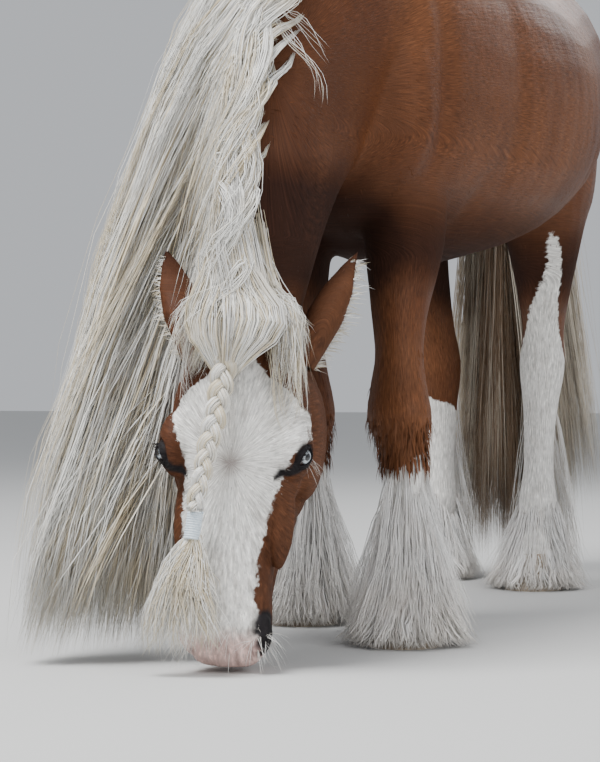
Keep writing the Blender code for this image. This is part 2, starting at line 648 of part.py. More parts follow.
def braid(tree, place):
    """The forelock's plait: three strands that cross in turn, close to the face."""
    line = clear_of([place @ Vector((x, -0.03, z)) for x, z in BRAID_LINE], tree, 0.018, 0)
    middle = spline([tuple(p) for p in line], BRAID_RINGS)
    share = np.linspace(0, 1, BRAID_RINGS)
    strands = []
    for strand in range(3):
        turn = share * math.tau * BRAID_TURNS + strand * math.tau / 3
        size = BRAID_STRAND * (1 - 0.25 * share)
        swing = np.stack([size * 1.15 * np.sin(turn), size * 0.55 * np.sin(2 * turn), 0 * turn], axis=1)
        rows = [(*p, w, w * 0.9, w * 0.9, 2.0) for p, w in zip(middle + swing, size)]
        strands.append(loft("strand", rows, BRAID_RINGS, 5))
    return join(strands[0], strands[1:])


def tie_and_tassel(tree, place, rng):
    """The plait's tie and the loose locks under it as one body, before they are parted."""
    ends = [place @ Vector((x, -0.01, z)) for x, z in ((-0.048, -0.340), (-0.053, -0.395))]
    ends = clear_of(ends, tree, 0.016, 0)
    rows = [(*ends[0].lerp(ends[1], f), 0.0135, 0.012, 0.012, 2.2) for f in (0.0, 0.5, 1.0)]
    band = loft("band", rows, 3, 12)
    locks = []
    for k in range(TASSEL_LOCKS):
        spread = (k + 0.5) / TASSEL_LOCKS * 2 - 1
        way = [(-0.052 + 0.004 * spread, -0.375), (-0.058 + 0.020 * spread, -0.440),
               (-0.066 + 0.048 * spread, -0.520), (-0.070 + 0.062 * spread, -0.575 + 0.03 * abs(spread))]
        depth = (-0.012, -0.016, -0.02, -0.02)
        path = [place @ Vector((x, y - 0.006 * (k % 2), z)) for (x, z), y in zip(way, depth)]
        path = clear_of(path, tree, 0.014, 1)
        locks.append(lock(path, TASSEL_LOCK[0], TASSEL_LOCK[1], (0.12, -1, 0), 6, 0.6, rng.uniform(-15, 15)))
    return join(band, locks)


def crest(share):
    """A point on the crest between poll and withers, the way out of it, and the neck's half width and depth."""
    rows = spline(NECK, 40)
    i = int(round(share * 39))
    along = unit(np.gradient(rows[:, :3], axis=0))[i]
    across = unit(np.array([1.0, 0, 0]) - along * along[0])
    above = np.cross(across, along)
    return Vector(rows[i, :3] + above * rows[i, 4]), Vector(above), rows[i, 3], rows[i, 4]


def mane_core():
    """The thick of the mane over the neck's right side, down to less than half the locks' length."""
    rings = []
    for share in (0.30, 0.40, 0.52, 0.64, 0.76, 0.86):
        point = crest(share)[0]
        low = point.z - 0.44 * (point.z - mane_end(share))
        middle, half = (point.z - 0.015 + low) / 2, (point.z - 0.015 - low) / 2
        bulge = math.sin(math.pi * (share - 0.22) / 0.72)
        x = point.x - 0.105 - 0.03 * bulge
        thick = 0.035 + 0.040 * bulge
        rings.append([(x + thick * math.cos(a) + 0.06 * math.sin(a), point.y + 0.02 * (1 - math.sin(a)),
                       middle + half * math.sin(a)) for a in (math.tau * k / 10 for k in range(10))])
    return tube("core", rings)


def mane_roll():
    """The thick roll of hair along the crest that the locks come out of."""
    rows = []
    for share in np.linspace(0.02, 0.86, 12):
        point, above, wide, deep = crest(share)
        middle = point + above * 0.004 + Vector((-0.30 * wide, 0, 0))
        size = ROLL_RADIUS * math.sin(math.pi * (0.12 + 0.80 * share)) ** 0.5
        rows.append((*middle, size * 1.4, size, size, 2.0))
    return loft("roll", rows, 14, 8)


def mane_end(share):
    """How high over the floor the mane ends below a point on the crest."""
    return 0.012 + max(0.0, (share - 0.48) * 1.20)


def mane_locks(tree, rng):
    """Long locks from the crest in layers over the neck's right side, the front ones down to the floor."""
    locks = []
    for k in range(MANE_LAYERS * MANE_LOCKS):
        layer = k % MANE_LAYERS
        share = 0.03 + 0.72 * (k + 0.5) / (MANE_LAYERS * MANE_LOCKS)
        point, above, wide, deep = crest(share)
        tip = Vector((-0.215 - 0.085 * layer + rng.uniform(-0.03, 0.03), point.y + 0.03 - 0.045 * layer,
                      mane_end(share) + rng.uniform(0, 0.05)))
        fall = point.z - tip.z
        out = 0.014 + 0.020 * layer
        shoulder = min(point.z - 0.85 * deep, point.z - 0.18 * fall)
        path = [point + Vector((-0.10 * wide, 0, 0)),
                point + above * out + Vector((-0.25 * wide, 0, -0.04 * deep)),
                point + above * out + Vector((-0.75 * wide, 0, -0.30 * deep)),
                Vector((point.x - 1.05 * wide - 2 * out, point.y, shoulder)),
                Vector((0.20 * point.x + 0.80 * tip.x - 0.02, (point.y + tip.y) / 2, tip.z + 0.42 * fall)),
                tip]
        path = clear_of(path, tree, 0.014 + 0.012 * layer, 2)
        fall_face = Vector((-1, -0.25 - 0.40 * layer + rng.uniform(-0.25, 0.25), 0.3))
        facing = [Vector((1, 0, 0)), above + Vector((0.5, 0, 0)), above + Vector((-0.6, 0, 0))]
        facing += 3 * [fall_face]
        locks.append(lock(path, MANE_LOCK[0] * rng.uniform(0.85, 1.15), MANE_LOCK[1], facing, 7, 0.12,
                          rng.uniform(-15, 15)))
    return locks


def tail_locks(tree, rng):
    """Locks in layers from the dock, falling behind the hocks to the floor."""
    locks = []
    for k in range(TAIL_LAYERS * TAIL_LOCKS):
        layer = k % TAIL_LAYERS
        spread = (k // TAIL_LAYERS + 0.5 + 0.4 * layer) / TAIL_LOCKS * 2 - 1
        step = (0.80 - 0.42 * layer + 0.15 * rng.uniform(-1, 1)) * (len(DOCK) - 1)
        y, z, r = (float(np.interp(step, range(len(DOCK)), [row[c] for row in DOCK])) for c in range(3))
        out = Vector((math.sin(1.5 * spread), math.cos(1.5 * spread), 0))
        tip_x = 0.030 + 0.165 * spread
        tip_z = 0.012 + rng.uniform(0, 0.05) + (0.15 if tip_x > 0.10 else 0.0)
        tip = Vector((tip_x, 1.465 + 0.055 * layer + rng.uniform(-0.01, 0.01), tip_z))
        path = [Vector((0, y, z)) + out * (r - 0.014),
                Vector((0, y, z - 0.025)) + out * (r + 0.016 + 0.012 * layer)]
        for fall, drift in ((0.30, 0.60), (0.65, 0.90)):
            path.append(Vector((tip.x * drift, path[1].y + (tip.y - path[1].y) * (fall + drift) / 2,
                                z + (tip.z - z) * fall)))
        path = clear_of(path + [tip], tree, 0.030, 1)
        facing = (0.5 * spread, 1, 0)
        locks.append(lock(path, TAIL_LOCK[0] * rng.uniform(0.9, 1.15), TAIL_LOCK[1], facing, 6, 0.35,
                          rng.uniform(-15, 15)))
    return locks


def forelock(tree, place, grow=0.0):
    """The forelock's knot, drawn in to the top of the plait, and the locks that fall beside it."""
    knot, turn = [], place.to_3x3()
    for k in range(KNOT_LOCKS):
        spread = (k + 0.5) / KNOT_LOCKS * 2 - 1
        layer = 0.010 * (k % 2)
        way = [(-0.006 + 0.034 * spread, 0.105, -0.020), (-0.010 + 0.048 * spread, 0.070, 0.026),
               (-0.008 + 0.066 * spread, 0.012 - layer, 0.018),
               (-0.008 + 0.058 * spread, -0.024 - layer, -0.040),
               (-0.008 + 0.018 * spread, -0.030, -0.098), (-0.014, -0.026, -0.150)]
        path = clear_of([place @ Vector(p) for p in way], tree, 0.012, 1)
        facing = [turn @ Vector((0.7 * spread, *rest)) for rest in KNOT_FACING]
        knot.append(lock(path, KNOT_LOCK[0] + grow, KNOT_LOCK[1] + grow, facing, 6, 0.8))
    knot = join(knot[0], knot[1:])
    cut(knot, box(place, (-0.3, -0.3, -0.4), (0.3, 0.3, BRAID_TOP + GAP / 2)))
    sides = []
    for x, far, low in SIDE_LOCKS:
        way = [(x, 0.100, -0.018), (x * 1.4, 0.065, 0.022), (far * 0.85, 0.035, -0.005),
               (far, 0.012, low * 0.55),
               (far * 1.02, 0.000, low)]
        path = clear_of([place @ Vector(p) for p in way], tree, 0.010, 1)
        facing = [turn @ Vector((far * across, *rest)) for across, *rest in SIDE_FACING]
        sides.append(lock(path, SIDE_LOCK[0] + grow, SIDE_LOCK[1] + grow, facing, 6, 0.8))
    whole = join(knot, sides)
    for _, side in SIDES:
        cut(whole, placed(ear_shell(side, ROOM - grow), place))
        cut(whole, placed(eye_ball("room", side, ROOM), place))
    return largest(whole)


def rooms_for(nodes, names):
    """Slightly wider copies of some nodes, to cut hair clear of them."""
    return [copy(nodes[name], "room", ROOM) for name in names]


def add_hair(nodes, tree, head_tree, bare_head, place, rng):
    """Joins the mane, tail hair and forelock to their nodes, and adds the plait, its tie and its end."""
    with_lock = largest(join(nodes["head"], [forelock(head_tree, place)]))
    nodes["head"] = thinned_closed(with_lock, HAIR_TRIANGLES["head"])
    for _, side in SIDES:
        cut(nodes["head"], placed(eye_ball("room", side, GAP), place))
    plait = braid(head_tree, place)
    cut(plait, box(place, (-0.3, -0.3, BRAID_TOP - GAP / 2), (0.3, 0.3, 0.1)))
    cut(plait, box(place, (-0.3, -0.3, -0.6), (0.3, 0.3, TIE_TOP + GAP / 2)))
    nodes["braid"] = largest(plait)
    tie = tie_and_tassel(head_tree, place, rng)
    cut(tie, box(place, (-0.3, -0.3, TIE_TOP - GAP / 2), (0.3, 0.3, 0.1)))
    tassel = copy(tie, "braid_tassel")
    cut(tassel, box(place, (-0.3, -0.3, TIE_BOTTOM - GAP / 2), (0.3, 0.3, 0.1)))
    cut(tie, box(place, (-0.3, -0.3, -0.7), (0.3, 0.3, TIE_BOTTOM + GAP / 2)))
    nodes["hair_tie"], nodes["braid_tassel"] = largest(tie), largest(tassel)
    cut(nodes["neck"], forelock(head_tree, place, ROOM))
    room = [bare_head, forelock(head_tree, place, HAIR_ROOM)]
    room += [placed(tool, place) for tool in (ear_shell(-1, HAIR_ROOM), eye_ball("room", -1, 2 * LID_ROOM))]
    for node, locks, rooms in (
            ("neck", [mane_core(), mane_roll(), *mane_locks(tree, rng)],
             room + rooms_for(nodes, ["foreleg_right"])),
            ("tail", tail_locks(tree, rng), rooms_for(nodes, ["hindleg_left", "hindleg_right"]))):
        hair = join(locks[0], locks[1:])
        cut(hair, box(Matrix(), (-2, -2, -1), (2, 2, FLOOR_CLEARANCE)))
        for tool in rooms + rooms_for(nodes, ["torso"]):
            cut(hair, tool)
        nodes[node] = thinned_closed(largest(join(nodes[node], [hair])), HAIR_TRIANGLES[node])


def assemble():
    """Every node of the horse."""
    rng = np.random.default_rng(11)
    place = head_matrix()
    nodes = {}
    head = fuse("head", [loft("neck_form", NECK[:4], 18, 24)] + head_parts(), HEAD_VOXEL, 3)
    head_tree = BVHTree.FromObject(head, bpy.context.evaluated_depsgraph_get())
    head = thinned(head, HEAD_TRIANGLES)
    bare_head = copy(head, "bare_head", LID_ROOM)
    head = head_details(head, place)
    ears = []
    for _, side in SIDES:
        ears.append(ear(side))
        ears[-1].data.transform(place)
    head = join(head, ears)
    for name, side in SIDES:
        frame = place @ ear_frame(side)
        nodes["ear_" + name] = part_off(head, "ear_" + name, lambda g: box(
            frame, (-0.05 - g, -0.06 - g, 0.014 - g), (0.05 + g, 0.06 + g, 0.30 + g)))
    nodes["head"] = part_off(head, "head", outline_region(HEAD_REGION, -0.4, 0.4))
    bpy.data.objects.remove(head)

    body = fuse("torso", body_parts() + head_parts(), BODY_VOXEL, 4)
    tree = BVHTree.FromObject(body, bpy.context.evaluated_depsgraph_get())
    torso = thinned(body, BODY_TRIANGLES)
    cut(torso, slab(grown(HEAD_REGION, GAP / 2), -0.4, 0.4))
    neck = part_off(torso, "neck", outline_region(NECK_REGION, -0.5, 0.5))
    for other in ("ear_left", "ear_right"):
        cut(neck, copy(nodes[other], "room", 0.0010))
    nodes["neck"] = largest(neck)
    dock = [(0, y, z, r, r, r, 2.0) for y, z, r in DOCK]
    torso = join(torso, [loft("dock", dock, 10, 10)])
    nodes["tail"] = part_off(torso, "tail", outline_region(TAIL_REGION, -0.4, 0.4))
    for name, side in SIDES:
        for kind, rows, foot, top, outline, low, high in (
                ("foreleg", FORE_LEG, FORE_FEET[name], SHEAR_FORE, FORE_REGION, -0.30, 0.18),
                ("hindleg", HIND_LEG, HIND_FEET[name], SHEAR_HIND, HIND_REGION, 0.84, 1.60)):
            lean = foot[1] / SHEAR_FORE if kind == "foreleg" else 0.0
            shape = [(side * x, z) for x, z in outline]
            leg = part_off(torso, f"{kind}_{name}", outline_region(shape, low, high, lean))
            joint = LOWER_LEG[kind]
            lower = part_off(leg, f"lower_{kind}_{name}", outline_region(
                [(-1.0, 0.05), (2.0, 0.05), (2.0, joint), (-1.0, joint)], -0.5, 0.5))
            nodes[leg.name] = largest(leg)
            centre = leg_rows(rows, foot, top, side, FORE_LEAN[name] if kind == "foreleg" else 0.0)
            foot_x, foot_y = leg_at(centre, HOOF_TOP)[:2]
            hoof_name = f"hoof_{kind[:4]}_{name}"
            nodes[hoof_name] = hoof(hoof_name, foot_x, foot_y, 0.022)
            locks = feather(centre, (foot_x, foot_y - 0.01), rng)
            with_locks = largest(join(lower, locks))
            nodes[f"lower_{kind}_{name}"] = thinned_closed(with_locks, HAIR_TRIANGLES["lower"])
    nodes["torso"] = largest(torso)
    for name, side in SIDES:
        nodes["eye_" + name] = placed(eye_ball("eye_" + name, side), place)
    add_hair(nodes, tree, head_tree, bare_head, place, rng)
    return nodes


def finish(nodes):
    """Gives each node its surface and stands the whole with the middle of its box over the origin."""
    corners = np.array([v.co for node in nodes.values() for v in node.data.vertices])
    low, high = corners.min(0), corners.max(0)
    shift = Matrix.Translation((-(low[0] + high[0]) / 2, -(low[1] + high[1]) / 2, 0))
    for name, node in nodes.items():
        node.data.transform(shift)
        node.name = name
        node.data.materials.clear()
        node.data.materials.append(coat(name, *COLOURS[name.split("_")[0]]))


for old in list(bpy.data.objects):
    bpy.data.objects.remove(old)
finish(assemble())
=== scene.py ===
"""The looks of a grazing gypsy vanner horse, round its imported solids. Metres, +Z up, the horse facing -Y."""

import math

import bmesh
import bpy
import numpy as np
from mathutils import Euler, Matrix, Vector
from mathutils.bvhtree import BVHTree


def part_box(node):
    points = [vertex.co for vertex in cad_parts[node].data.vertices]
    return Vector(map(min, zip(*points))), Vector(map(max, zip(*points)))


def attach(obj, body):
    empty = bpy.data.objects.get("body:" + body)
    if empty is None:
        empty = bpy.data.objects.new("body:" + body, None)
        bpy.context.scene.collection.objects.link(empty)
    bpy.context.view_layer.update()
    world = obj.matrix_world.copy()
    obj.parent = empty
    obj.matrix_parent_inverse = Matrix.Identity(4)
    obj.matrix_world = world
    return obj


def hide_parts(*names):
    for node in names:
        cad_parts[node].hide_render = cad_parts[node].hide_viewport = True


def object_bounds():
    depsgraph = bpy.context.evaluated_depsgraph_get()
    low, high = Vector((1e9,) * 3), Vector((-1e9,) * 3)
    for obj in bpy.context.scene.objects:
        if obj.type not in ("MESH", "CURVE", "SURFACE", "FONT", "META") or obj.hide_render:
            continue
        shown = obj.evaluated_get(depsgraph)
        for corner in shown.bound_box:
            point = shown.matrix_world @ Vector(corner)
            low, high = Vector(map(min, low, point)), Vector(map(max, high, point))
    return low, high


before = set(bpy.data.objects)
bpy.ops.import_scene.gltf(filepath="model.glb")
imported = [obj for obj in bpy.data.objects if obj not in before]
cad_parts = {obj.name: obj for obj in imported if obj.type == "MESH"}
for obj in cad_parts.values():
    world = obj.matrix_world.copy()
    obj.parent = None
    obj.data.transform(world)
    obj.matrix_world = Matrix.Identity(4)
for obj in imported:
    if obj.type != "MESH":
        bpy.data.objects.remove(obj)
CAD_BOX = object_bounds()

# Driving dimensions, in metres, in the frame that the solids were drawn in.
WITHERS = 1.45
FEET = {
    ("fore", "left"): (0.156, -0.150),
    ("fore", "right"): (-0.140, 0.200),
    ("hind", "left"): (0.142, 1.020),
    ("hind", "right"): (-0.150, 1.250),
}
# Where legs that stand square are along the body, and the height up to which they slant towards their feet.
SQUARE = {"fore": 0.0, "hind": 1.130}
SHEAR = {"fore": 1.050, "hind": 1.180}
# The left foreleg also leans in towards its top, this much at that height.
LEAN = {("fore", "left"): -0.085}
HEAD_POLL = (-0.018, -0.640, 0.603)
HEAD_TURN = {"tilt": -7.0, "roll": 1.6, "yaw": 7.0}
EYE_CENTRE, EYE_RADIUS = (0.107, 0.034, -0.245), 0.0215
EYE_FACING, EYE_SLANT = (0.84, -0.53, -0.06), (0.30, 0.55, 0.78)
EAR_BASE, EAR_TIP, EAR_OPENING = (0.098, 0.128, -0.062), (0.166, 0.172, 0.124), (0.55, 0.82, -0.10)
BODY_VOXEL, HEAD_VOXEL = 0.009, 0.0034
# Where head and body skins meet: a point on the neck and the way up it.
JOINT_POINT, JOINT_WAY, JOINT_REACH = (0, -0.420, 0.820), (0, 0.36, 0.93), -0.190
# How far from that seam the skin is smoothed, and how often.
SEAM_REACH, SEAM_ROUNDS = 0.020, 12
# Camera of the photo, level, in the same frame.
CAMERA_PLACE, CAMERA_YAW, CAMERA_LENS = (1.2143, -4.3194, 0.4766), 17.0, 111.7
SEED = 7
SIDES = (("left", 1), ("right", -1))

# Torso sections: y, top, bottom, half width, height of the widest place, squareness.
TORSO = [
    (-0.225, 1.040, 0.930, 0.060, 0.985, 2.0),
    (-0.190, 1.140, 0.840, 0.140, 0.985, 2.1),
    (-0.115, 1.270, 0.768, 0.188, 0.990, 2.1),
    (0.000, 1.395, 0.730, 0.222, 1.010, 2.1),
    (0.120, WITHERS, 0.708, 0.245, 1.020, 2.0),
    (0.250, 1.435, 0.704, 0.285, 1.030, 2.0),
    (0.400, 1.398, 0.715, 0.322, 1.040, 2.1),
    (0.550, 1.374, 0.735, 0.344, 1.050, 2.2),
    (0.700, 1.370, 0.757, 0.348, 1.060, 2.2),
    (0.830, 1.386, 0.790, 0.336, 1.080, 2.3),
    (0.950, 1.418, 0.845, 0.318, 1.110, 2.3),
    (1.060, 1.432, 0.895, 0.305, 1.130, 2.4),
    (1.160, 1.408, 0.925, 0.285, 1.130, 2.4),
    (1.250, 1.345, 0.955, 0.235, 1.130, 2.3),
    (1.315, 1.255, 1.010, 0.150, 1.130, 2.1),
    (1.340, 1.190, 1.070, 0.070, 1.130, 2.0),
]
# Neck, from the throat back into the shoulder:
# x, y, z, half width, dorsal half depth, ventral half depth, squareness.
NECK = [
    (-0.026, -0.535, 0.520, 0.067, 0.110, 0.110, 2.1),
    (-0.027, -0.520, 0.600, 0.069, 0.125, 0.125, 2.1),
    (-0.025, -0.485, 0.700, 0.079, 0.148, 0.142, 2.1),
    (-0.021, -0.420, 0.820, 0.090, 0.170, 0.162, 2.0),
    (-0.015, -0.330, 0.940, 0.103, 0.195, 0.185, 2.0),
    (-0.008, -0.220, 1.050, 0.128, 0.215, 0.215, 2.0),
    (-0.003, -0.095, 1.120, 0.162, 0.235, 0.262, 2.1),
    (0.000, 0.060, 1.140, 0.195, 0.255, 0.300, 2.1),
]
# Legs from the pastern up, standing square:
# x offset, y, z, half width, half depth in front, half depth behind.
FORE_LEG = [
    (0.000, -0.032, 0.060, 0.050, 0.058, 0.050),
    (0.000, -0.028, 0.090, 0.049, 0.055, 0.050),
    (-0.002, -0.014, 0.125, 0.039, 0.043, 0.043),
    (-0.002, 0.002, 0.180, 0.044, 0.046, 0.054),
    (-0.003, 0.006, 0.235, 0.036, 0.038, 0.046),
    (-0.004, 0.007, 0.300, 0.036, 0.037, 0.046),
    (-0.006, 0.004, 0.360, 0.046, 0.043, 0.052),
    (-0.008, -0.004, 0.410, 0.061, 0.058, 0.057),
    (-0.008, -0.002, 0.455, 0.055, 0.053, 0.054),
    (-0.006, 0.004, 0.520, 0.045, 0.050, 0.056),
    (-0.004, 0.008, 0.600, 0.051, 0.062, 0.072),
    (0.002, 0.016, 0.690, 0.064, 0.082, 0.096),
    (0.006, 0.030, 0.780, 0.076, 0.105, 0.120),
    (0.006, 0.028, 0.880, 0.084, 0.140, 0.140),
    (-0.002, 0.010, 0.990, 0.086, 0.175, 0.160),
    (-0.020, 0.010, 1.110, 0.076, 0.165, 0.160),
    (-0.045, 0.030, 1.220, 0.055, 0.120, 0.130),
]
HIND_LEG = [
    (0.000, 0.012, 0.060, 0.050, 0.058, 0.050),
    (0.000, 0.016, 0.090, 0.049, 0.055, 0.050),
    (-0.002, 0.032, 0.130, 0.039, 0.043, 0.043),
    (-0.004, 0.052, 0.190, 0.045, 0.048, 0.056),
    (-0.006, 0.062, 0.250, 0.037, 0.041, 0.048),
    (-0.008, 0.072, 0.340, 0.035, 0.041, 0.048),
    (-0.008, 0.080, 0.430, 0.042, 0.048, 0.054),
    (-0.006, 0.082, 0.515, 0.053, 0.062, 0.068),
    (-0.002, 0.066, 0.590, 0.048, 0.056, 0.062),
    (0.008, 0.018, 0.680, 0.060, 0.080, 0.086),
    (0.018, -0.035, 0.770, 0.078, 0.112, 0.120),
    (0.022, -0.070, 0.860, 0.096, 0.150, 0.175),
    (0.018, -0.058, 0.960, 0.112, 0.185, 0.225),
    (0.008, -0.050, 1.060, 0.122, 0.200, 0.240),
    (-0.006, -0.055, 1.160, 0.118, 0.190, 0.215),
    (-0.030, -0.060, 1.260, 0.095, 0.150, 0.165),
]
LEGS = {"fore": FORE_LEG, "hind": HIND_LEG}
# The point of the hock: a blade behind the joint, y, z, half width, half depth.
HOCK_POINT = [(0.104, 0.470, 0.020, 0.022), (0.134, 0.540, 0.023, 0.026), (0.150, 0.600, 0.021, 0.024),
              (0.128, 0.660, 0.013, 0.016), (0.090, 0.740, 0.010, 0.012)]
# Face, in the head's own frame (x left, y back, z up, poll at 0), from the muzzle up:
# y, z, half width, half depth in front, half depth behind, squareness.
FACE = [
    (0.076, -0.588, 0.036, 0.028, 0.026, 2.2),
    (0.074, -0.572, 0.056, 0.043, 0.034, 2.3),
    (0.076, -0.545, 0.067, 0.053, 0.041, 2.4),
    (0.078, -0.505, 0.068, 0.060, 0.046, 2.4),
    (0.080, -0.460, 0.066, 0.064, 0.048, 2.4),
    (0.081, -0.410, 0.069, 0.068, 0.056, 2.4),
    (0.085, -0.350, 0.079, 0.077, 0.062, 2.5),
    (0.090, -0.290, 0.102, 0.088, 0.072, 2.6),
    (0.095, -0.230, 0.117, 0.098, 0.082, 2.7),
    (0.100, -0.170, 0.117, 0.105, 0.088, 2.6),
    (0.105, -0.110, 0.104, 0.105, 0.088, 2.4),
    (0.112, -0.055, 0.084, 0.098, 0.082, 2.1),
    (0.118, -0.010, 0.062, 0.082, 0.070, 2.0),
    (0.124, 0.020, 0.036, 0.050, 0.050, 2.0),
]
JAW = [
    (0.112, -0.568, 0.034, 0.026, 0.020, 2.0),
    (0.118, -0.548, 0.048, 0.032, 0.026, 2.0),
    (0.120, -0.515, 0.056, 0.036, 0.032, 2.0),
    (0.122, -0.470, 0.060, 0.040, 0.034, 2.1),
    (0.130, -0.420, 0.067, 0.046, 0.042, 2.2),
    (0.146, -0.360, 0.083, 0.056, 0.052, 2.3),
    (0.164, -0.300, 0.101, 0.068, 0.062, 2.4),
    (0.178, -0.240, 0.113, 0.076, 0.072, 2.5),
    (0.184, -0.175, 0.117, 0.082, 0.076, 2.5),
    (0.182, -0.110, 0.108, 0.074, 0.066, 2.3),
    (0.172, -0.060, 0.082, 0.056, 0.050, 2.0),
]
# Rounded masses of the head, mirrored: centre, radii.
HEAD_MASSES = [
    ((0.096, 0.150, -0.205), (0.036, 0.085, 0.105)),
    ((0.097, 0.048, -0.229), (0.032, 0.050, 0.056)),
    ((0.078, 0.064, -0.345), (0.020, 0.030, 0.085)),
    ((0.052, 0.048, -0.538), (0.024, 0.028, 0.036)),
    ((0.028, 0.062, -0.568), (0.030, 0.032, 0.022)),
    ((0.022, 0.112, -0.562), (0.026, 0.026, 0.020)),
]
# The dock of the tail: y, z, radius.
DOCK = [(1.220, 1.270, 0.040), (1.330, 1.225, 0.043), (1.385, 1.150, 0.038), (1.405, 1.050, 0.030),
        (1.412, 0.940, 0.018)]
# The plait's tie, its two ends and its x, and the plait's middle line as x and z, in the head's frame.
TIE_TOP, TIE_BOTTOM, TIE_X = -0.345, -0.388, -0.048
BRAID_LINE = [(-0.008, -0.090), (-0.020, -0.185), (-0.029, -0.235), (-0.038, -0.290), (-0.048, -0.345)]
# Edges of the white face in the head's frame: height, the right edge's x and the left edge's x.
BLAZE = [(-0.085, -0.020, 0.030), (-0.120, -0.046, 0.060), (-0.145, -0.080, 0.095), (-0.180, -0.104, 0.122),
         (-0.215, -0.094, 0.126), (-0.240, -0.080, 0.110), (-0.274, -0.075, 0.088), (-0.315, -0.082, 0.072),
         (-0.364, -0.080, 0.060), (-0.414, -0.078, 0.051), (-0.479, -0.084, 0.048), (-0.530, -0.098, 0.062),
         (-0.560, -0.115, 0.100), (-0.620, -0.125, 0.115)]
# Heights of the white stockings, and the stripe up the left hind leg: x, y, z, half width.
STOCKINGS = {("fore", "left"): 0.325, ("fore", "right"): 0.345,
             ("hind", "left"): 0.480, ("hind", "right"): 0.430}
STRIPE = [(0.235, 0.800, 0.880, 0.011), (0.222, 0.860, 0.835, 0.012),
          (0.212, 0.915, 0.790, 0.013), (0.200, 0.965, 0.740, 0.015), (0.186, 0.995, 0.700, 0.019),
          (0.168, 1.030, 0.640, 0.026), (0.156, 1.060, 0.580, 0.046), (0.148, 1.070, 0.500, 0.078)]


def through(f, span, start, end, leave, arrive):
    """Points at shares f of smooth curves between two points, with the slopes at both."""
    return (
        (2 * f**3 - 3 * f**2 + 1) * start
        + (f**3 - 2 * f**2 + f) * span * leave
        + (3 * f**2 - 2 * f**3) * end
        + (f**3 - f**2) * span * arrive
    )


def spline(rows, count):
    """Rows at even steps along a smooth curve through the given rows, which start with x, y and z."""
    rows = np.array(rows, float)
    at = np.concatenate([[0], np.cumsum(np.linalg.norm(np.diff(rows[:, :3], axis=0), axis=1))])
    slopes = np.gradient(rows, at, axis=0)
    where = np.linspace(0, at[-1], count)
    i = np.clip(np.searchsorted(at, where, side="right") - 1, 0, len(at) - 2)
    span = (at[i + 1] - at[i])[:, None]
    return through((where - at[i])[:, None] / span, span, rows[i], rows[i + 1], slopes[i], slopes[i + 1])


def unit(vectors):
    """Vectors of length one."""
    vectors = np.asarray(vectors, float)
    return vectors / np.maximum(np.linalg.norm(vectors, axis=-1, keepdims=True), 1e-9)


def smooth(values, low, high):
    """Rises smoothly from 0 at low to 1 at high."""
    share = np.clip((np.asarray(values, float) - low) / (high - low), 0, 1)
    return share * share * (3 - 2 * share)


def hump(values, middle, width):
    """A soft hump, 1 high, round the middle."""
    return np.exp(-(((values - middle) / width) ** 2))


def head_matrix():
    """Carries the head's own frame into the horse's."""
    turn = Euler([math.radians(HEAD_TURN[k]) for k in ("tilt", "roll", "yaw")], "XYZ")
    return Matrix.Translation(HEAD_POLL) @ turn.to_matrix().to_4x4()


PLACE = head_matrix()
HEAD_TURNED = np.array(PLACE)[:3, :3]
LOW_EYE, HIGH_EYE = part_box("eye_left")
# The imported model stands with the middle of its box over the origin; this carries the drawing frame there.
SHIFT = (LOW_EYE + HIGH_EYE) / 2 - PLACE @ Vector(EYE_CENTRE)
SHIFT.z = 0.0


def moved(points, matrix):
    """Points carried by a matrix."""
    matrix = np.array(matrix)
    return np.asarray(points, float) @ matrix[:3, :3].T + matrix[:3, 3]


def to_head(points):
    """Points of the horse's frame in the head's own."""
    return moved(points, PLACE.inverted())


def ring_tube(rings):
    """Points and faces of a closed body from rings of points."""
    count, sides = rings.shape[:2]
    faces = [tuple(reversed(range(sides))), tuple((count - 1) * sides + k for k in range(sides))]
    for i in range(count - 1):
        for k in range(sides):
            a, b = i * sides + k, i * sides + (k + 1) % sides
            faces.append((a, b, b + sides, a + sides))
    return rings.reshape(-1, 3), faces


def across_and_above(rows):
    """The level way across a path and the way out above it, at each of its rows."""
    along = unit(np.gradient(rows[:, :3], axis=0))
    across = unit(np.array([1.0, 0, 0]) - along * along[:, :1])
    return across, np.cross(across, along)


def loft(rows, rings, sides):
    """A closed body whose rows are x, y, z, half width, half depth above, half depth below, squareness."""
    rows = spline(rows, rings)
    across, above = across_and_above(rows)
    angles = np.arange(sides) * math.tau / sides
    power = 2 / rows[:, 6:7]
    cos, sin = np.cos(angles)[None], np.sin(angles)[None]
    wide = rows[:, 3:4] * np.sign(cos) * np.abs(cos) ** power
    deep = np.where(sin > 0, rows[:, 4:5], rows[:, 5:6]) * np.sign(sin) * np.abs(sin) ** power
    return ring_tube(rows[:, None, :3] + wide[..., None] * across[:, None] + deep[..., None] * above[:, None])


def ball(centre, radii, segments=24):
    """Points and faces of an ellipsoid, level by level from the top, with its two poles at the end."""
    levels = segments // 2
    down = np.arange(1, levels)[:, None] * math.pi / levels
    turn = np.arange(segments)[None] * math.tau / segments
    wide = np.sin(down)
    rings = np.stack([wide * np.cos(turn), wide * np.sin(turn), np.cos(down) + 0 * turn], axis=-1)
    points = np.concatenate([rings.reshape(-1, 3), [(0, 0, 1), (0, 0, -1)]])
    top, bottom, last = len(points) - 2, len(points) - 1, (levels - 2) * segments
    faces = []
    for k in range(segments):
        after = (k + 1) % segments
        faces += [(top, k, after), (last + after, last + k, bottom)]
        for a, b in ((i * segments + k, i * segments + after) for i in range(levels - 2)):
            faces.append((a, a + segments, b + segments, b))
    return points * radii + centre, faces


def mesh_of(name, points, faces):
    """A mesh of these points and faces."""
    mesh = bpy.data.meshes.new(name)
    mesh.from_pydata(np.asarray(points, float).tolist(), [], [tuple(map(int, f)) for f in faces])
    return mesh


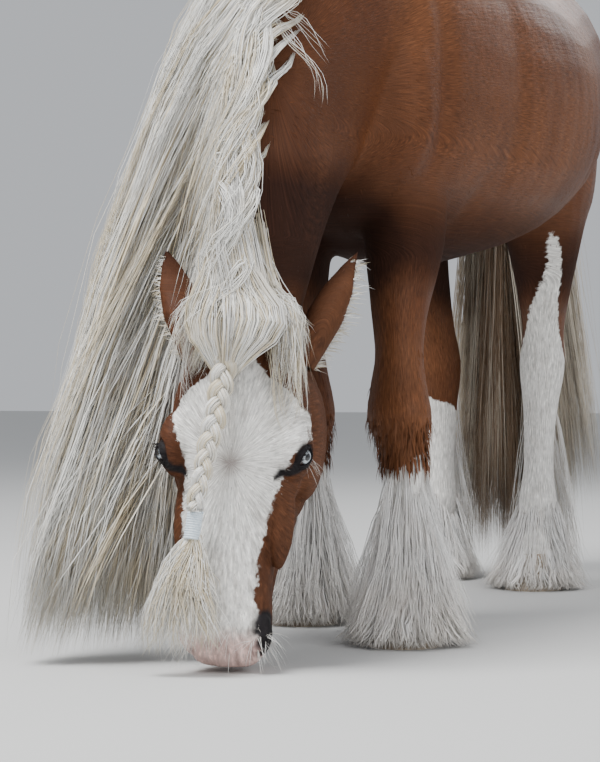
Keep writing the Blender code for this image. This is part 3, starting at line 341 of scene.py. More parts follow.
def fuse(name, parts, voxel, rounds):
    """One smooth skin round all the parts, each of them points and faces."""
    points, faces = [], []
    for part_points, part_faces in parts:
        start = sum(len(p) for p in points)
        points.append(part_points)
        faces += [[start + i for i in face] for face in part_faces]
    whole = bpy.data.objects.new(name, mesh_of(name, np.concatenate(points), faces))
    bpy.context.scene.collection.objects.link(whole)
    remesh = whole.modifiers.new("remesh", "REMESH")
    remesh.mode = "VOXEL"
    remesh.voxel_size = voxel
    relax = whole.modifiers.new("smooth", "SMOOTH")
    relax.factor = 0.5
    relax.iterations = rounds
    mesh = bpy.data.meshes.new_from_object(whole.evaluated_get(bpy.context.evaluated_depsgraph_get()))
    bpy.data.objects.remove(whole)
    return mesh


def leg_rows(rows, leg):
    """A leg's stations, moved to its foot and sheared so that its top stays under the body."""
    end, side_name = leg
    foot_x, foot_y = FEET[leg]
    top, square = SHEAR[end], SQUARE[end]
    side, lean = dict(SIDES)[side_name], LEAN.get(leg, 0.0)
    found = []
    for x, y, z, wide, front, back in rows:
        share = max(0.0, 1 - z / top)
        place = (foot_x + side * x + lean * z / top, square + y + (foot_y - square) * share, z)
        found.append((*place, wide, front, back, 2.1))
    return np.array(found)


def all_legs():
    """Each leg's name and stations."""
    for side_name, _ in SIDES:
        for end, rows in LEGS.items():
            yield (end, side_name), leg_rows(rows, (end, side_name))


def leg_middle(table, z):
    """Where the middle of a leg is at some heights: x and y."""
    return [np.interp(z, table[:, 2], table[:, k]) for k in (0, 1)]


def beside_leg(points, leg):
    """Whether points lie in the quarter of the horse where this leg is."""
    x, y, _ = points.T
    return ((x > 0) == (leg[1] == "left")) & ((y > 0.55) == (leg[0] == "hind")) & (y > -0.40)


def leg_skin(table, z, out, sunk):
    """The point of a leg's skin at a height and this way out from the leg's middle, sunk in a little."""
    x, y, wide, ahead, behind = (float(np.interp(z, table[:, 2], table[:, k])) for k in (0, 1, 3, 4, 5))
    reach = 1 / math.hypot(out[0] / wide, out[1] / (behind if out[1] > 0 else ahead))
    return np.array([x, y, z]) + out * (reach - sunk)


def body_parts():
    """The overlapping forms that make up the horse's flesh, down to the pasterns."""
    torso = [(0, y, widest, wide, top - widest, widest - low, power)
             for y, top, low, wide, widest, power in TORSO]
    parts = [loft(torso, 60, 32), loft(NECK, 30, 28)]
    for _, rows in all_legs():
        parts.append(loft(rows, 60, 20))
    hock = [(0, y, z, wide, deep, deep) for y, z, wide, deep in HOCK_POINT]
    for side_name, _ in SIDES:
        parts.append(loft(leg_rows(hock, ("hind", side_name)), 16, 12))
    dock = [(0, y, z, r, r, r, 2.0) for y, z, r in DOCK]
    return parts + [loft(dock, 16, 14)]


def ear_frame(side):
    """The frame of one ear in the head's: width along X, the cup open towards -Y, the tip along Z."""
    axis = (Vector(EAR_TIP) - Vector(EAR_BASE)).normalized()
    opening = Vector(EAR_OPENING)
    opening = (opening - axis * opening.dot(axis)).normalized()
    ear = Matrix((opening.cross(axis), -opening, axis)).transposed().to_4x4()
    return Matrix.Diagonal((side, 1, 1, 1)) @ Matrix.Translation(EAR_BASE) @ ear


EAR_LENGTH = (Vector(EAR_TIP) - Vector(EAR_BASE)).length
# How deep the ear's root sits in the skull.
EAR_ROOT = 0.026


def ear_section(share):
    """An ear's half width, depth and half angle of wrap, in radians, at a share of its length."""
    stations = [0, 0.16, 0.42, 0.66, 0.86, 1]
    wide = np.interp(share, stations, [0.024, 0.028, 0.037, 0.031, 0.015, 0.0015])
    deep = np.interp(share, stations, [0.020, 0.024, 0.026, 0.020, 0.011, 0.0015])
    return wide, deep, math.radians(np.interp(share, [0, 0.2, 0.45, 0.8, 1], [176, 168, 128, 108, 100]))


def ear_shell(side):
    """One cupped ear as a bent sheet with thickness, its root sunk in the skull, in the head's frame."""
    levels, steps = 22, 18
    outer, inner = [], []
    for level in range(levels):
        share = level / (levels - 1)
        z = -EAR_ROOT + (EAR_LENGTH + EAR_ROOT) * share
        wide, deep, half = ear_section(share)
        thick = np.interp(share, [0, 0.4, 1], [0.0075, 0.0055, 0.0022])
        lean = -0.006 * share**2
        for ring, cut in ((outer, 0.0), (inner, thick)):
            ring.append([((wide - cut) * math.sin(a), (deep - cut) * math.cos(a) + lean, z + cut * 0.2)
                         for a in np.linspace(-half, half, steps)])
    points = np.array(outer + inner).reshape(-1, 3)
    faces, shell = [], levels * steps
    for i in range(levels - 1):
        for k in range(steps - 1):
            a = i * steps + k
            faces.append((a, a + 1, a + 1 + steps, a + steps))
            faces.append((shell + a, shell + a + steps, shell + a + steps + 1, shell + a + 1))
        for k in (0, steps - 1):
            a = i * steps + k
            rim = (a, a + steps, shell + a + steps, shell + a)
            faces.append(rim if k == 0 else tuple(reversed(rim)))
    for i in (0, levels - 1):
        for k in range(steps - 1):
            a = i * steps + k
            rim = (a, shell + a, shell + a + 1, a + 1)
            faces.append(rim if i == 0 else tuple(reversed(rim)))
    turn = ear_frame(side)
    if side < 0:
        faces = [tuple(reversed(f)) for f in faces]
    return moved(points, turn), faces


def head_parts():
    """The overlapping forms of the head, with its ears, in the horse's frame."""
    face = [(0, y, z, wide, front, back, power) for y, z, wide, front, back, power in FACE]
    jaw = [(0, y, z, wide, front, back, power) for y, z, wide, front, back, power in JAW]
    parts = [loft(face, 60, 40), loft(jaw, 50, 32)]
    for centre, radii in HEAD_MASSES:
        for _, side in SIDES:
            parts.append(ball((side * centre[0], *centre[1:]), radii))
    for _, side in SIDES:
        parts.append(ear_shell(side))
    return [(moved(points, PLACE), faces) for points, faces in parts]


def sliced(mesh, keep_above):
    """A mesh cut by the plane across the neck, with one side of it kept."""
    form = bmesh.new()
    form.from_mesh(mesh)
    way = Vector(JOINT_WAY).normalized()
    # Only the part ahead of the forelegs is cut.
    ahead = {v for v in form.verts if v.co.y < JOINT_REACH - 0.2 * max(0.0, 0.5 - v.co.z)}
    cells = [c for group in (form.edges, form.faces) for c in group if all(v in ahead for v in c.verts)]
    # A set has no order of its own, and the same cut at each run needs one.
    cells = [v for v in form.verts if v in ahead] + cells
    bmesh.ops.bisect_plane(form, geom=cells, plane_co=JOINT_POINT, plane_no=way,
                           clear_inner=keep_above, clear_outer=not keep_above)
    # Blades of the other part that the cut leaves loose are dropped: only the largest piece is kept.
    form.verts.index_update()
    left, best = set(form.verts), set()
    while left:
        found, edge = set(), [left.pop()]
        while edge:
            vertex = edge.pop()
            found.add(vertex)
            for other in (e.other_vert(vertex) for e in vertex.link_edges):
                if other in left:
                    left.discard(other)
                    edge.append(other)
        best = max(best, found, key=len)
    bmesh.ops.delete(form, geom=[v for v in form.verts if v not in best], context="VERTS")
    return form


def whole_skin():
    """The body's and the head's skins, the head's finer, bridged across the neck into one."""
    body = sliced(fuse("body", body_parts() + head_parts(), BODY_VOXEL, 5), True)
    head = sliced(fuse("head", [loft(NECK[:6], 30, 40)] + head_parts(), HEAD_VOXEL, 3), False)
    joined = bpy.data.meshes.new("skin")
    head.to_mesh(joined)
    body.from_mesh(joined)
    head.free()
    rims = [e for e in body.edges if e.is_boundary]
    bmesh.ops.bridge_loops(body, edges=rims)
    way = Vector(JOINT_WAY).normalized()
    near = [v for v in body.verts
            if v.co.y < JOINT_REACH and abs((v.co - Vector(JOINT_POINT)).dot(way)) < SEAM_REACH]
    for _ in range(SEAM_ROUNDS):
        bmesh.ops.smooth_vert(body, verts=near, factor=0.5, use_axis_x=True, use_axis_y=True, use_axis_z=True)
    bmesh.ops.recalc_face_normals(body, faces=body.faces)
    body.to_mesh(joined)
    body.free()
    return joined


def arrays(mesh):
    """A mesh's points and vertex normals as arrays."""
    points = np.empty(len(mesh.vertices) * 3, np.float32)
    normals = np.empty(len(mesh.vertices) * 3, np.float32)
    mesh.vertices.foreach_get("co", points)
    mesh.vertices.foreach_get("normal", normals)
    return points.reshape(-1, 3).astype(float), normals.reshape(-1, 3).astype(float)


def refined(mesh, places):
    """Cuts a mesh's faces near some places finer. Places are points with a reach."""
    form = bmesh.new()
    form.from_mesh(mesh)
    points = np.array([v.co for v in form.verts])
    near = np.zeros(len(points), bool)
    for point, reach in places:
        near |= np.linalg.norm(points - np.array(point), axis=1) < reach
    edges = [e for e in form.edges if near[e.verts[0].index] and near[e.verts[1].index]]
    bmesh.ops.subdivide_edges(form, edges=edges, cuts=1, use_grid_fill=True, smooth=0.0)
    form.to_mesh(mesh)
    form.free()


def eye_axes(side):
    """An eye's middle and its slant, across and facing ways, in the head's frame."""
    facing = unit(EYE_FACING)
    slant = unit(np.array(EYE_SLANT) - facing * (facing @ np.array(EYE_SLANT)))
    across = np.cross(facing, slant)
    mirror = np.array([side, 1, 1])
    return np.array(EYE_CENTRE) * mirror, slant * mirror, across * mirror, facing * mirror


# Half the length of an eye's opening, and its height above and below its middle line.
LID_LENGTH, UPPER_LID, LOWER_LID = 0.0185, 0.0095, 0.0080
LID_CURVE, LID_THICKNESS = 0.7, 0.0030
# Folds of skin round the lids: distance from the opening's edge, half width, depth.
LID_FOLDS = [(0.0085, 0.0022, 0.0022), (0.014, 0.0016, 0.0012)]
EYE_REACH = 0.046


def lid_edge(u, v):
    """How far a place on the eye's face, u along its slant and v across, lies outside its opening."""
    share = np.clip(1 - (u / LID_LENGTH) ** 2, 0, 1) ** LID_CURVE
    reach = np.where(v > 0, UPPER_LID, LOWER_LID) * share
    beyond = np.maximum(np.abs(u) - LID_LENGTH, 0)
    inside = np.maximum(reach - np.abs(v), 0) * (beyond == 0)
    return np.hypot(np.maximum(np.abs(v) - reach, 0), beyond) - inside


def shape_eyes(points):
    """Sinks each eye's opening, rolls the lids over the ball and folds the skin round them."""
    for _, side in SIDES:
        centre, slant, across, facing = eye_axes(side)
        local = points - centre
        u, v, w = local @ slant, local @ across, local @ facing
        radius = np.hypot(u, v)
        near = (w > -0.012) & (radius < EYE_REACH)
        edge = lid_edge(u, v)
        lid_top = np.sqrt(np.maximum((EYE_RADIUS + LID_THICKNESS) ** 2 - np.minimum(radius, 0.021) ** 2, 0))
        blend = smooth(edge, 0.0075, 0.019)
        fold = sum(deep * hump(edge, far, wide) for far, wide, deep in LID_FOLDS)
        lifted = lid_top * (1 - blend) + w * blend - fold + 0.0014 * hump(edge, 0, 0.0022)
        sunk = 0.006 + (lid_top - 0.006) * smooth(edge, -0.0012, 0.0002)
        amount = near * (1 - smooth(radius, 0.036, EYE_REACH))
        points = points + ((np.where(edge < 0.0, sunk, lifted) - w) * amount)[:, None] * facing
    return points


# Details of the face in the head's frame: a nostril's middle and long way, its half length and half width and
# its depth, and the line of the mouth as heights and how far back it lies there.
NOSTRIL, NOSTRIL_WAY = (0.058, 0.036, -0.541), (0.18, 0.55, 0.80)
NOSTRIL_SIZE, NOSTRIL_DEPTH = (0.0185, 0.0105), 0.019
MOUTH_HEIGHTS, MOUTH_LINE = (-0.60, -0.575, -0.545, -0.515), (0.092, 0.0955, 0.1015, 0.1105)
MOUTH_DEPTH, LIP_SWELL = 0.0065, 0.0022


def shape_nose(points, normals):
    """The nostrils, the mouth and the bones that show in the face, in the head's frame."""
    x, y, z = points.T
    push = np.zeros(len(points))
    for _, side in SIDES:
        mirror = np.array([side, 1, 1])
        local = points - NOSTRIL * mirror
        along = unit(NOSTRIL_WAY * mirror)
        far = local @ along
        across = np.linalg.norm(local - far[:, None] * along, axis=1)
        reach = np.hypot(far / NOSTRIL_SIZE[0], across / NOSTRIL_SIZE[1])
        push -= NOSTRIL_DEPTH * (1 - smooth(reach, 0.55, 1.0))
        push += 0.0045 * hump(reach, 1.22, 0.22)
        false_nostril = hump(x, side * 0.062, 0.02) * hump(y, 0.05, 0.03) * hump(z, -0.500, 0.03)
        over_eye = hump(x, side * 0.088, 0.020) * hump(y, 0.075, 0.024) * hump(z, -0.175, 0.022)
        push += 0.004 * false_nostril - 0.007 * over_eye
        face_crest = hump(y - 0.10 * (z + 0.30), 0.070, 0.008)
        face_crest *= smooth(-z, 0.24, 0.28) * (1 - smooth(-z, 0.38, 0.43))
        cheek_groove = hump(z + 0.55 * (y - 0.13), -0.315, 0.010) * smooth(y, 0.08, 0.12)
        push += (side * x > 0.03) * (0.0035 * face_crest - 0.003 * cheek_groove)
    mouth = np.interp(z, MOUTH_HEIGHTS, MOUTH_LINE)
    shown = smooth(-z, 0.500, 0.515)
    push -= MOUTH_DEPTH * hump(y, mouth, 0.0026) * shown
    for beside in (0.007, -0.008):
        push += LIP_SWELL * hump(y, mouth + beside, 0.005) * shown
    return points + normals * push[:, None]


def bumps(points, normals, rows):
    """Moves the skin in or out by soft round bumps: centre, radii, height."""
    push = np.zeros(len(points))
    for centre, radii, height in rows:
        push += height * np.exp(-(((points - np.array(centre)) / np.array(radii)) ** 2).sum(1))
    return points + normals * push[:, None]


def muscles():
    """The swellings and hollows of the body: centre, radii, height."""
    rows = []
    for side_name, side in SIDES:
        foot_x, foot_y = FEET["fore", side_name]
        lean = foot_y / SHEAR["fore"]
        rows += [
            ((side * 0.215, -0.075, 0.980), (0.07, 0.030, 0.24), -0.014),
            ((side * 0.20, -0.145, 0.900), (0.08, 0.050, 0.16), 0.012),
            ((side * 0.24, 0.075, 1.120), (0.08, 0.085, 0.22), 0.008),
            ((side * 0.24, 0.135, 1.000), (0.10, 0.055, 0.20), 0.005),
            ((side * 0.26, 0.235, 1.020), (0.11, 0.040, 0.24), -0.006),
            ((side * 0.17, 0.165, 0.830), (0.07, 0.040, 0.07), -0.010),
            ((side * 0.19, 0.060 + lean * 0.35, 0.720), (0.05, 0.030, 0.14), 0.006),
            ((side * 0.17, -0.030 + lean * 0.4, 0.640), (0.05, 0.018, 0.13), -0.004),
            ((side * 0.28, 0.820, 0.940), (0.08, 0.050, 0.12), -0.012),
            ((side * 0.28, 1.000, 1.020), (0.09, 0.120, 0.16), 0.007),
            ((side * 0.20, 1.220, 1.000), (0.09, 0.045, 0.20), -0.007),
        ]
        for k in range(7):
            y = 0.30 + 0.072 * k
            rows.append(((side * 0.33, y, 1.00 + 0.01 * k), (0.16, 0.015, 0.18), -0.0009))
        knee_y = foot_y * (1 - 0.41 / SHEAR["fore"]) - 0.06
        rows.append(((foot_x, knee_y, 0.425), (0.035, 0.03, 0.030), 0.004))
        rows.append(((foot_x, knee_y, 0.375), (0.050, 0.04, 0.014), -0.003))
    rows.append(((0, -0.205, 0.900), (0.012, 0.06, 0.16), -0.010))
    return rows


def stripe_field(points):
    """How far inside the white stripe of the left hind leg a point lies."""
    rows = spline(STRIPE, 24)
    best = np.full(len(points), -1.0)
    for x, y, z, wide in rows:
        best = np.maximum(best, wide - np.linalg.norm((points - [x, y, z]) * [0.7, 0.8, 1.0], axis=1))
    return best


def face_white(head):
    """How far inside the white of the face points in the head's frame lie."""
    x, y, z = head.T
    table = np.array(BLAZE)[::-1]
    right, left = (np.interp(z, table[:, 0], table[:, k]) for k in (1, 2))
    blaze = np.minimum(x - right, left - x)
    blaze = np.minimum(blaze, np.minimum(-0.085 - z, 0.085 + 0.4 * np.maximum(0, -0.50 - z) - y))
    return np.maximum(blaze, np.where(z < -0.545, 0.10 - y, -1.0))


def stocking(points, leg, height):
    """How far below the ragged top of a leg's stocking points lie, or -1 for points away from the leg."""
    end, _ = leg
    x, y = FEET[leg]
    share = 1 - points[:, 2] / SHEAR[end]
    middle_y = SQUARE[end] + (y - SQUARE[end]) * share + (0.0 if end == "fore" else 0.06)
    near = (np.hypot(points[:, 0] - x, points[:, 1] - middle_y) < 0.17) & (points[:, 2] < 0.8)
    wavy = 0.016 * np.sin(31 * points[:, 0] + 2.0) + 0.011 * np.sin(47 * points[:, 1])
    return np.where(near, height + wavy - points[:, 2], -1.0)


def dark_skin(head):
    """How far inside the dark skin of the eyes and nostrils points in the head's frame lie."""
    dark = np.full(len(head), -1.0)
    for _, side in SIDES:
        centre, slant, across, facing = eye_axes(side)
        local = head - centre
        u, v = local @ slant, local @ across
        tear = np.minimum(0.0185 + 0.33 * u - np.abs(v + 0.004 + 0.06 * u), np.minimum(-u, u + 0.056))
        rim = 0.0088 - lid_edge(u, v)
        dark = np.maximum(dark, np.where(local @ facing > -0.02, np.maximum(rim, tear), -1.0))
        inner = 0.012 - np.linalg.norm(head - [side * 0.050, 0.046, -0.541], axis=1)
        dark = np.maximum(dark, inner)
    nostril = 0.030 - np.linalg.norm((head - [0.066, 0.046, -0.535]) * [1, 1, 0.8], axis=1)
    return np.maximum(dark, nostril)


def fields(points):
    """Signed distances to the edges of the markings, positive inside: white hair, dark skin and pink skin."""
    head = to_head(points)
    on_head = (head[:, 1] < 0.25) & (head[:, 2] < 0.10) & (points[:, 1] < -0.35) & (points[:, 2] < 0.75)
    white = np.where(on_head, face_white(head), -1.0)
    for leg, height in STOCKINGS.items():
        white = np.maximum(white, stocking(points, leg, height))
    left_hind = (points[:, 0] > 0.06) & (points[:, 1] > 0.45) & (points[:, 2] < 0.95)
    white = np.where(left_hind, np.maximum(white, stripe_field(points)), white)
    dark = np.where(on_head, dark_skin(head), -1.0)
    pink = np.where(on_head, -0.530 - head[:, 2], -1.0)
    return white, dark, pink


WHORL = np.array([0.002, 0.0, -0.262])


def whorl_field(points):
    """How near points are to the middle of the whorl on the forehead."""
    return np.exp(-((np.linalg.norm(to_head(points) - WHORL, axis=1) / 0.019) ** 2))


def flow(points):
    """How far across and along the lie of the coat each point is, for streaks that follow the hair."""
    head = to_head(points) - WHORL
    x, y, z = points.T
    across = 0.32 * np.arctan2(x, z - 1.0)
    down = y.copy()
    for leg, table in all_legs():
        share = beside_leg(points, leg) * (1 - smooth(z, 0.70, 0.95))
        middle_x, middle_y = leg_middle(table, z)
        across += share * (0.07 * np.arctan2(x - middle_x, middle_y - y) - across)
        down += share * (-z - down)
    on_head = smooth(-y, 0.44, 0.52) * (1 - smooth(z, 0.62, 0.72))
    across += on_head * (0.11 * np.arctan2(head[:, 0], -head[:, 2]) - across)
    down += on_head * (np.linalg.norm(head, axis=1) - down)
    return across, down


def all_fields(points):
    """Every number that the coat's colours read at points of the skin."""
    white, dark, pink = fields(points)
    across, down = flow(points)
    return {"white": white, "dark": dark, "pink": pink, "low": painted_shade(points), "across": across,
            "down": down, "whorl": whorl_field(points)}


def skin_mesh():
    """The horse's whole skin with its eyes, nostrils, mouth and muscles shaped."""
    mesh = whole_skin()
    places, lids = [], []
    for _, side in SIDES:
        centre, _, _, facing = eye_axes(side)
        places.append((PLACE @ Vector(centre + facing * 0.01), 0.050))
        lids.append((PLACE @ Vector(centre + facing * 0.015), 0.032))
        places.append((PLACE @ Vector((side * 0.055, 0.045, -0.540)), 0.040))
    places.append((PLACE @ Vector((0, 0.09, -0.575)), 0.040))
    refined(mesh, places)
    refined(mesh, lids)
    points, normals = arrays(mesh)
    head = to_head(points)
    at_head = (head[:, 2] < 0.0) & (points[:, 1] < -0.38) & (points[:, 2] < 0.75)
    shaped = shape_nose(head[at_head], normals[at_head] @ HEAD_TURNED)
    shaped = shape_eyes(shaped)
    points[at_head] = moved(shaped, PLACE)
    points[~at_head] = bumps(points[~at_head], normals[~at_head], muscles())
    mesh.vertices.foreach_set("co", points.astype(np.float32).ravel())
    mesh.update()
    return mesh


def add_fields(mesh, values):
    """Stores arrays, one number for each point, on a mesh."""
    for name, numbers in values.items():
        layer = mesh.attributes.new(name, "FLOAT", "POINT")
        layer.data.foreach_set("value", np.asarray(numbers, np.float32))


def piece(name, mesh, material, replaces=()):
    """A shown object of the horse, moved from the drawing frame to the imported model's and riding on it."""
    mesh.transform(Matrix.Translation(SHIFT))
    obj = bpy.data.objects.new(name, mesh)
    bpy.context.scene.collection.objects.link(obj)
    mesh.materials.clear()
    mesh.materials.append(material)
    mesh.shade_smooth()
    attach(obj, "root")
    if replaces:
        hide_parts(*replaces)
    return obj


class Nodes:
    """A short way to build a material's node tree."""

    def __init__(self, name):
        self.material = bpy.data.materials.new(name)
        self.material.use_nodes = True
        self.tree = self.material.node_tree
        self.shader = self.tree.nodes["Principled BSDF"]

    def add(self, kind, **settings):
        """A node with its settings; inputs are given by name, as values or as sockets to link."""
        node = self.tree.nodes.new(kind)
        inputs = settings.pop("inputs", {})
        for key, value in settings.items():
            setattr(node, key, value)
        for key, value in inputs.items():
            self.link(value, node.inputs[key])
        return node

    def scaled(self, colour, by):
        """A colour made brighter or darker."""
        node = self.add("ShaderNodeVectorMath", operation="SCALE", inputs={"Vector": colour, "Scale": by})
        return node.outputs[0]

    def link(self, value, socket):
        """Links a socket, or sets a plain value."""
        if isinstance(value, bpy.types.NodeSocket):
            self.tree.links.new(value, socket)
        else:
            socket.default_value = value

    def field(self, name):
        """A number stored on the mesh."""
        return self.add("ShaderNodeAttribute", attribute_name=name).outputs["Fac"]

    def noise(self, scale, detail=3.0):
        """Noise over the object's own coordinates."""
        coords = self.add("ShaderNodeTexCoord").outputs["Object"]
        inputs = {"Vector": coords, "Scale": scale, "Detail": detail, "Roughness": 0.55}
        return self.add("ShaderNodeTexNoise", inputs=inputs).outputs["Fac"]

    def streaks(self, fine, along):
        """Noise drawn out along the lie of the coat."""
        across = self.math("MULTIPLY", self.field("across"), fine)
        down = self.math("MULTIPLY", self.field("down"), along)
        place = self.add("ShaderNodeCombineXYZ", inputs={"X": across, "Y": down}).outputs[0]
        inputs = {"Vector": place, "Scale": 1.0, "Detail": 3.0, "Roughness": 0.6}
        return self.add("ShaderNodeTexNoise", inputs=inputs).outputs["Fac"]

    def math(self, operation, a, b=0.0):
        """One sum of two numbers."""
        node = self.add("ShaderNodeMath", operation=operation)
        self.link(a, node.inputs[0])
        self.link(b, node.inputs[1])
        return node.outputs[0]

    def length(self, u, v):
        """How far a place is from the middle."""
        squares = self.math("ADD", self.math("MULTIPLY", u, u), self.math("MULTIPLY", v, v))
        return self.math("SQRT", squares)

    def ramp(self, value, low, high, from_value=0.0, to_value=1.0):
        """A smooth step of a number from one range to another."""
        inputs = {"Value": value, "From Min": low, "From Max": high, "To Min": from_value, "To Max": to_value}
        node = self.add("ShaderNodeMapRange", interpolation_type="SMOOTHSTEP", inputs=inputs)
        return node.outputs["Result"]

    def mix(self, share, a, b):
        """Two colours mixed."""
        node = self.add("ShaderNodeMix", data_type="RGBA")
        self.link(share, node.inputs["Factor"])
        for value, socket in ((a, node.inputs[6]), (b, node.inputs[7])):
            self.link((*value, 1.0) if isinstance(value, tuple) else value, socket)
        return node.outputs[2]

    def surface(self, **values):
        """Sets or links the shader's inputs, named with _ for each space, and gives the material."""
        for name, value in values.items():
            self.link(value, self.shader.inputs[name.replace("_", " ")])
        return self.material

    def bump(self, height, strength, distance, normal=None):
        """A bump of a height."""
        inputs = {"Height": height, "Strength": strength, "Distance": distance}
        if normal is not None:
            inputs["Normal"] = normal
        return self.add("ShaderNodeBump", inputs=inputs).outputs["Normal"]


# The darkest chestnut serves both the coat's random dark patches and the shade painted under the body and over
# the neck and head.
CHESTNUT, CHESTNUT_LIGHT, CHESTNUT_DARK_AND_SHADE = (0.100, 0.034, 0.013), (0.156, 0.060, 0.025), (0.018, 0.007, 0.005)
WHITE_HAIR, WHITE_SHADE, WHORL_SHADE = (0.80, 0.785, 0.75), (0.46, 0.43, 0.40), (0.22, 0.17, 0.155)
PINK_SKIN, DARK_SKIN = (0.58, 0.36, 0.32), (0.011, 0.009, 0.010)


def coat_colours(nodes, tone=None):
    """The coat's colour with its markings and its painted shade, from the mesh's fields and noise."""
    broad = nodes.noise(2.6, 4.0)
    fine = nodes.noise(60.0, 3.0)
    brown = nodes.mix(nodes.ramp(broad, 0.35, 0.70), CHESTNUT, CHESTNUT_LIGHT)
    shade = nodes.ramp(nodes.noise(3.4, 2.0), 0.48, 0.80, 0.0, 0.35)
    brown = nodes.mix(shade, brown, CHESTNUT_DARK_AND_SHADE)
    # Painted shade: the coat darkens towards the darkest chestnut as far as the low field says.
    brown = nodes.mix(nodes.math("MULTIPLY", nodes.field("low"), 0.88), brown, CHESTNUT_DARK_AND_SHADE)
    white = nodes.mix(nodes.ramp(fine, 0.35, 0.75, 0.0, 0.35), WHITE_HAIR, WHITE_SHADE)
    clumps = nodes.streaks(170.0, 16.0)
    white = nodes.mix(nodes.ramp(clumps, 0.46, 0.66, 0.0, 0.60), white, WHITE_SHADE)
    whorl = nodes.math("MULTIPLY", nodes.field("whorl"), nodes.ramp(clumps, 0.30, 0.62, 0.35, 1.0))
    white = nodes.mix(whorl, white, WHORL_SHADE)
    ragged = nodes.math("MULTIPLY", nodes.math("SUBTRACT", nodes.noise(75.0, 4.0), 0.5), 0.020)
    edge = nodes.math("ADD", nodes.field("white"), ragged)
    colour = nodes.mix(nodes.ramp(edge, -0.0025, 0.0025), brown, white)
    pink = nodes.math("ADD", nodes.field("pink"), nodes.math("MULTIPLY", ragged, 1.2))
    pink = nodes.ramp(pink, -0.010, 0.030, 0.0, 0.8)
    colour = nodes.mix(pink, colour, PINK_SKIN)
    dark = nodes.math("ADD", nodes.field("dark"), nodes.math("MULTIPLY", ragged, 0.35))
    colour = nodes.mix(nodes.ramp(dark, -0.006, 0.003), colour, DARK_SKIN)
    if tone is not None:
        grey = nodes.ramp(tone, 0.75, 0.25, 0.0, 0.55)
        colour = nodes.mix(nodes.math("MULTIPLY", grey, nodes.ramp(edge, -0.002, 0.002)), colour, WHITE_SHADE)
        colour = nodes.mix(nodes.ramp(tone, 0.50, 1.0, 0.0, 0.80), colour, nodes.scaled(colour, 1.6))
        colour = nodes.mix(nodes.ramp(tone, 0.50, 0.0, 0.0, 0.50), colour, nodes.scaled(colour, 0.5))
    return colour


def skin_material():
    """The skin and its shortest hair, dull where it is low, its lie drawn in streaks and fine bump."""
    nodes = Nodes("coat")
    colour = coat_colours(nodes)
    streak = nodes.streaks(330.0, 46.0)
    colour = nodes.mix(nodes.ramp(streak, 0.50, 0.66, 0.0, 0.60), colour, nodes.scaled(colour, 0.45))
    colour = nodes.mix(nodes.ramp(streak, 0.48, 0.32, 0.0, 0.75), colour, nodes.scaled(colour, 1.6))
    # The skin is rougher where shade is painted, so that it reflects less there.
    rough = nodes.ramp(nodes.field("low"), 0.15, 0.80, 0.45, 0.90)
    normal = nodes.bump(nodes.streaks(900.0, 60.0), 0.45, 0.0014)
    normal = nodes.bump(nodes.streaks(190.0, 14.0), 0.40, 0.0030, normal)
    normal = nodes.bump(nodes.noise(16.0), 0.30, 0.010, normal)
    return nodes.surface(Base_Color=colour, Roughness=rough, Specular_IOR_Level=0.14, Normal=normal)


def fur_material():
    """The short tufts over the coat, which carry its markings and its painted shade."""
    nodes = Nodes("fur")
    colour = coat_colours(nodes, nodes.field("tone"))
    return nodes.surface(Base_Color=colour, Roughness=0.62, Specular_IOR_Level=0.12)


# Long hair's colours: pale, golden and grey strands, their roots, and in the feather their tips.
HAIR = {
    "mane_hair": [(0.86, 0.85, 0.81), (0.66, 0.57, 0.41), (0.46, 0.445, 0.43), (0.52, 0.46, 0.36)],
    # The tail's golden is a dark brown that paints the shade in the tail's middle.
    "tail_hair": [(0.76, 0.69, 0.57), (0.31, 0.21, 0.135), (0.62, 0.57, 0.50), (0.22, 0.14, 0.09)],
    "feather_hair": [(0.95, 0.94, 0.92), (0.90, 0.85, 0.80), (0.82, 0.79, 0.77), (0.90, 0.84, 0.80),
                     (0.84, 0.77, 0.68)],
}


def long_hair_material(name, pale, golden, grey, roots, end_tint=None):
    """Long hair whose strands differ in tone and darken towards the roots."""
    nodes = Nodes(name)
    tone, along = nodes.field("tone"), nodes.field("along")
    colour = nodes.mix(nodes.ramp(tone, 0.30, 0.65), golden, pale)
    colour = nodes.mix(nodes.ramp(tone, 0.86, 1.0, 0.0, 0.75), colour, grey)
    patch = nodes.noise(9.0, 3.0)
    colour = nodes.mix(nodes.ramp(patch, 0.52, 0.72, 0.0, 0.5), colour, golden)
    colour = nodes.mix(nodes.ramp(along, 0.16, 0.0, 0.0, 0.55), colour, roots)
    if end_tint:
        colour = nodes.mix(nodes.ramp(along, 0.55, 1.0, 0.0, 0.55), colour, end_tint)
    return nodes.surface(Base_Color=colour, Roughness=0.42, Specular_IOR_Level=0.45, Sheen_Weight=0.05)


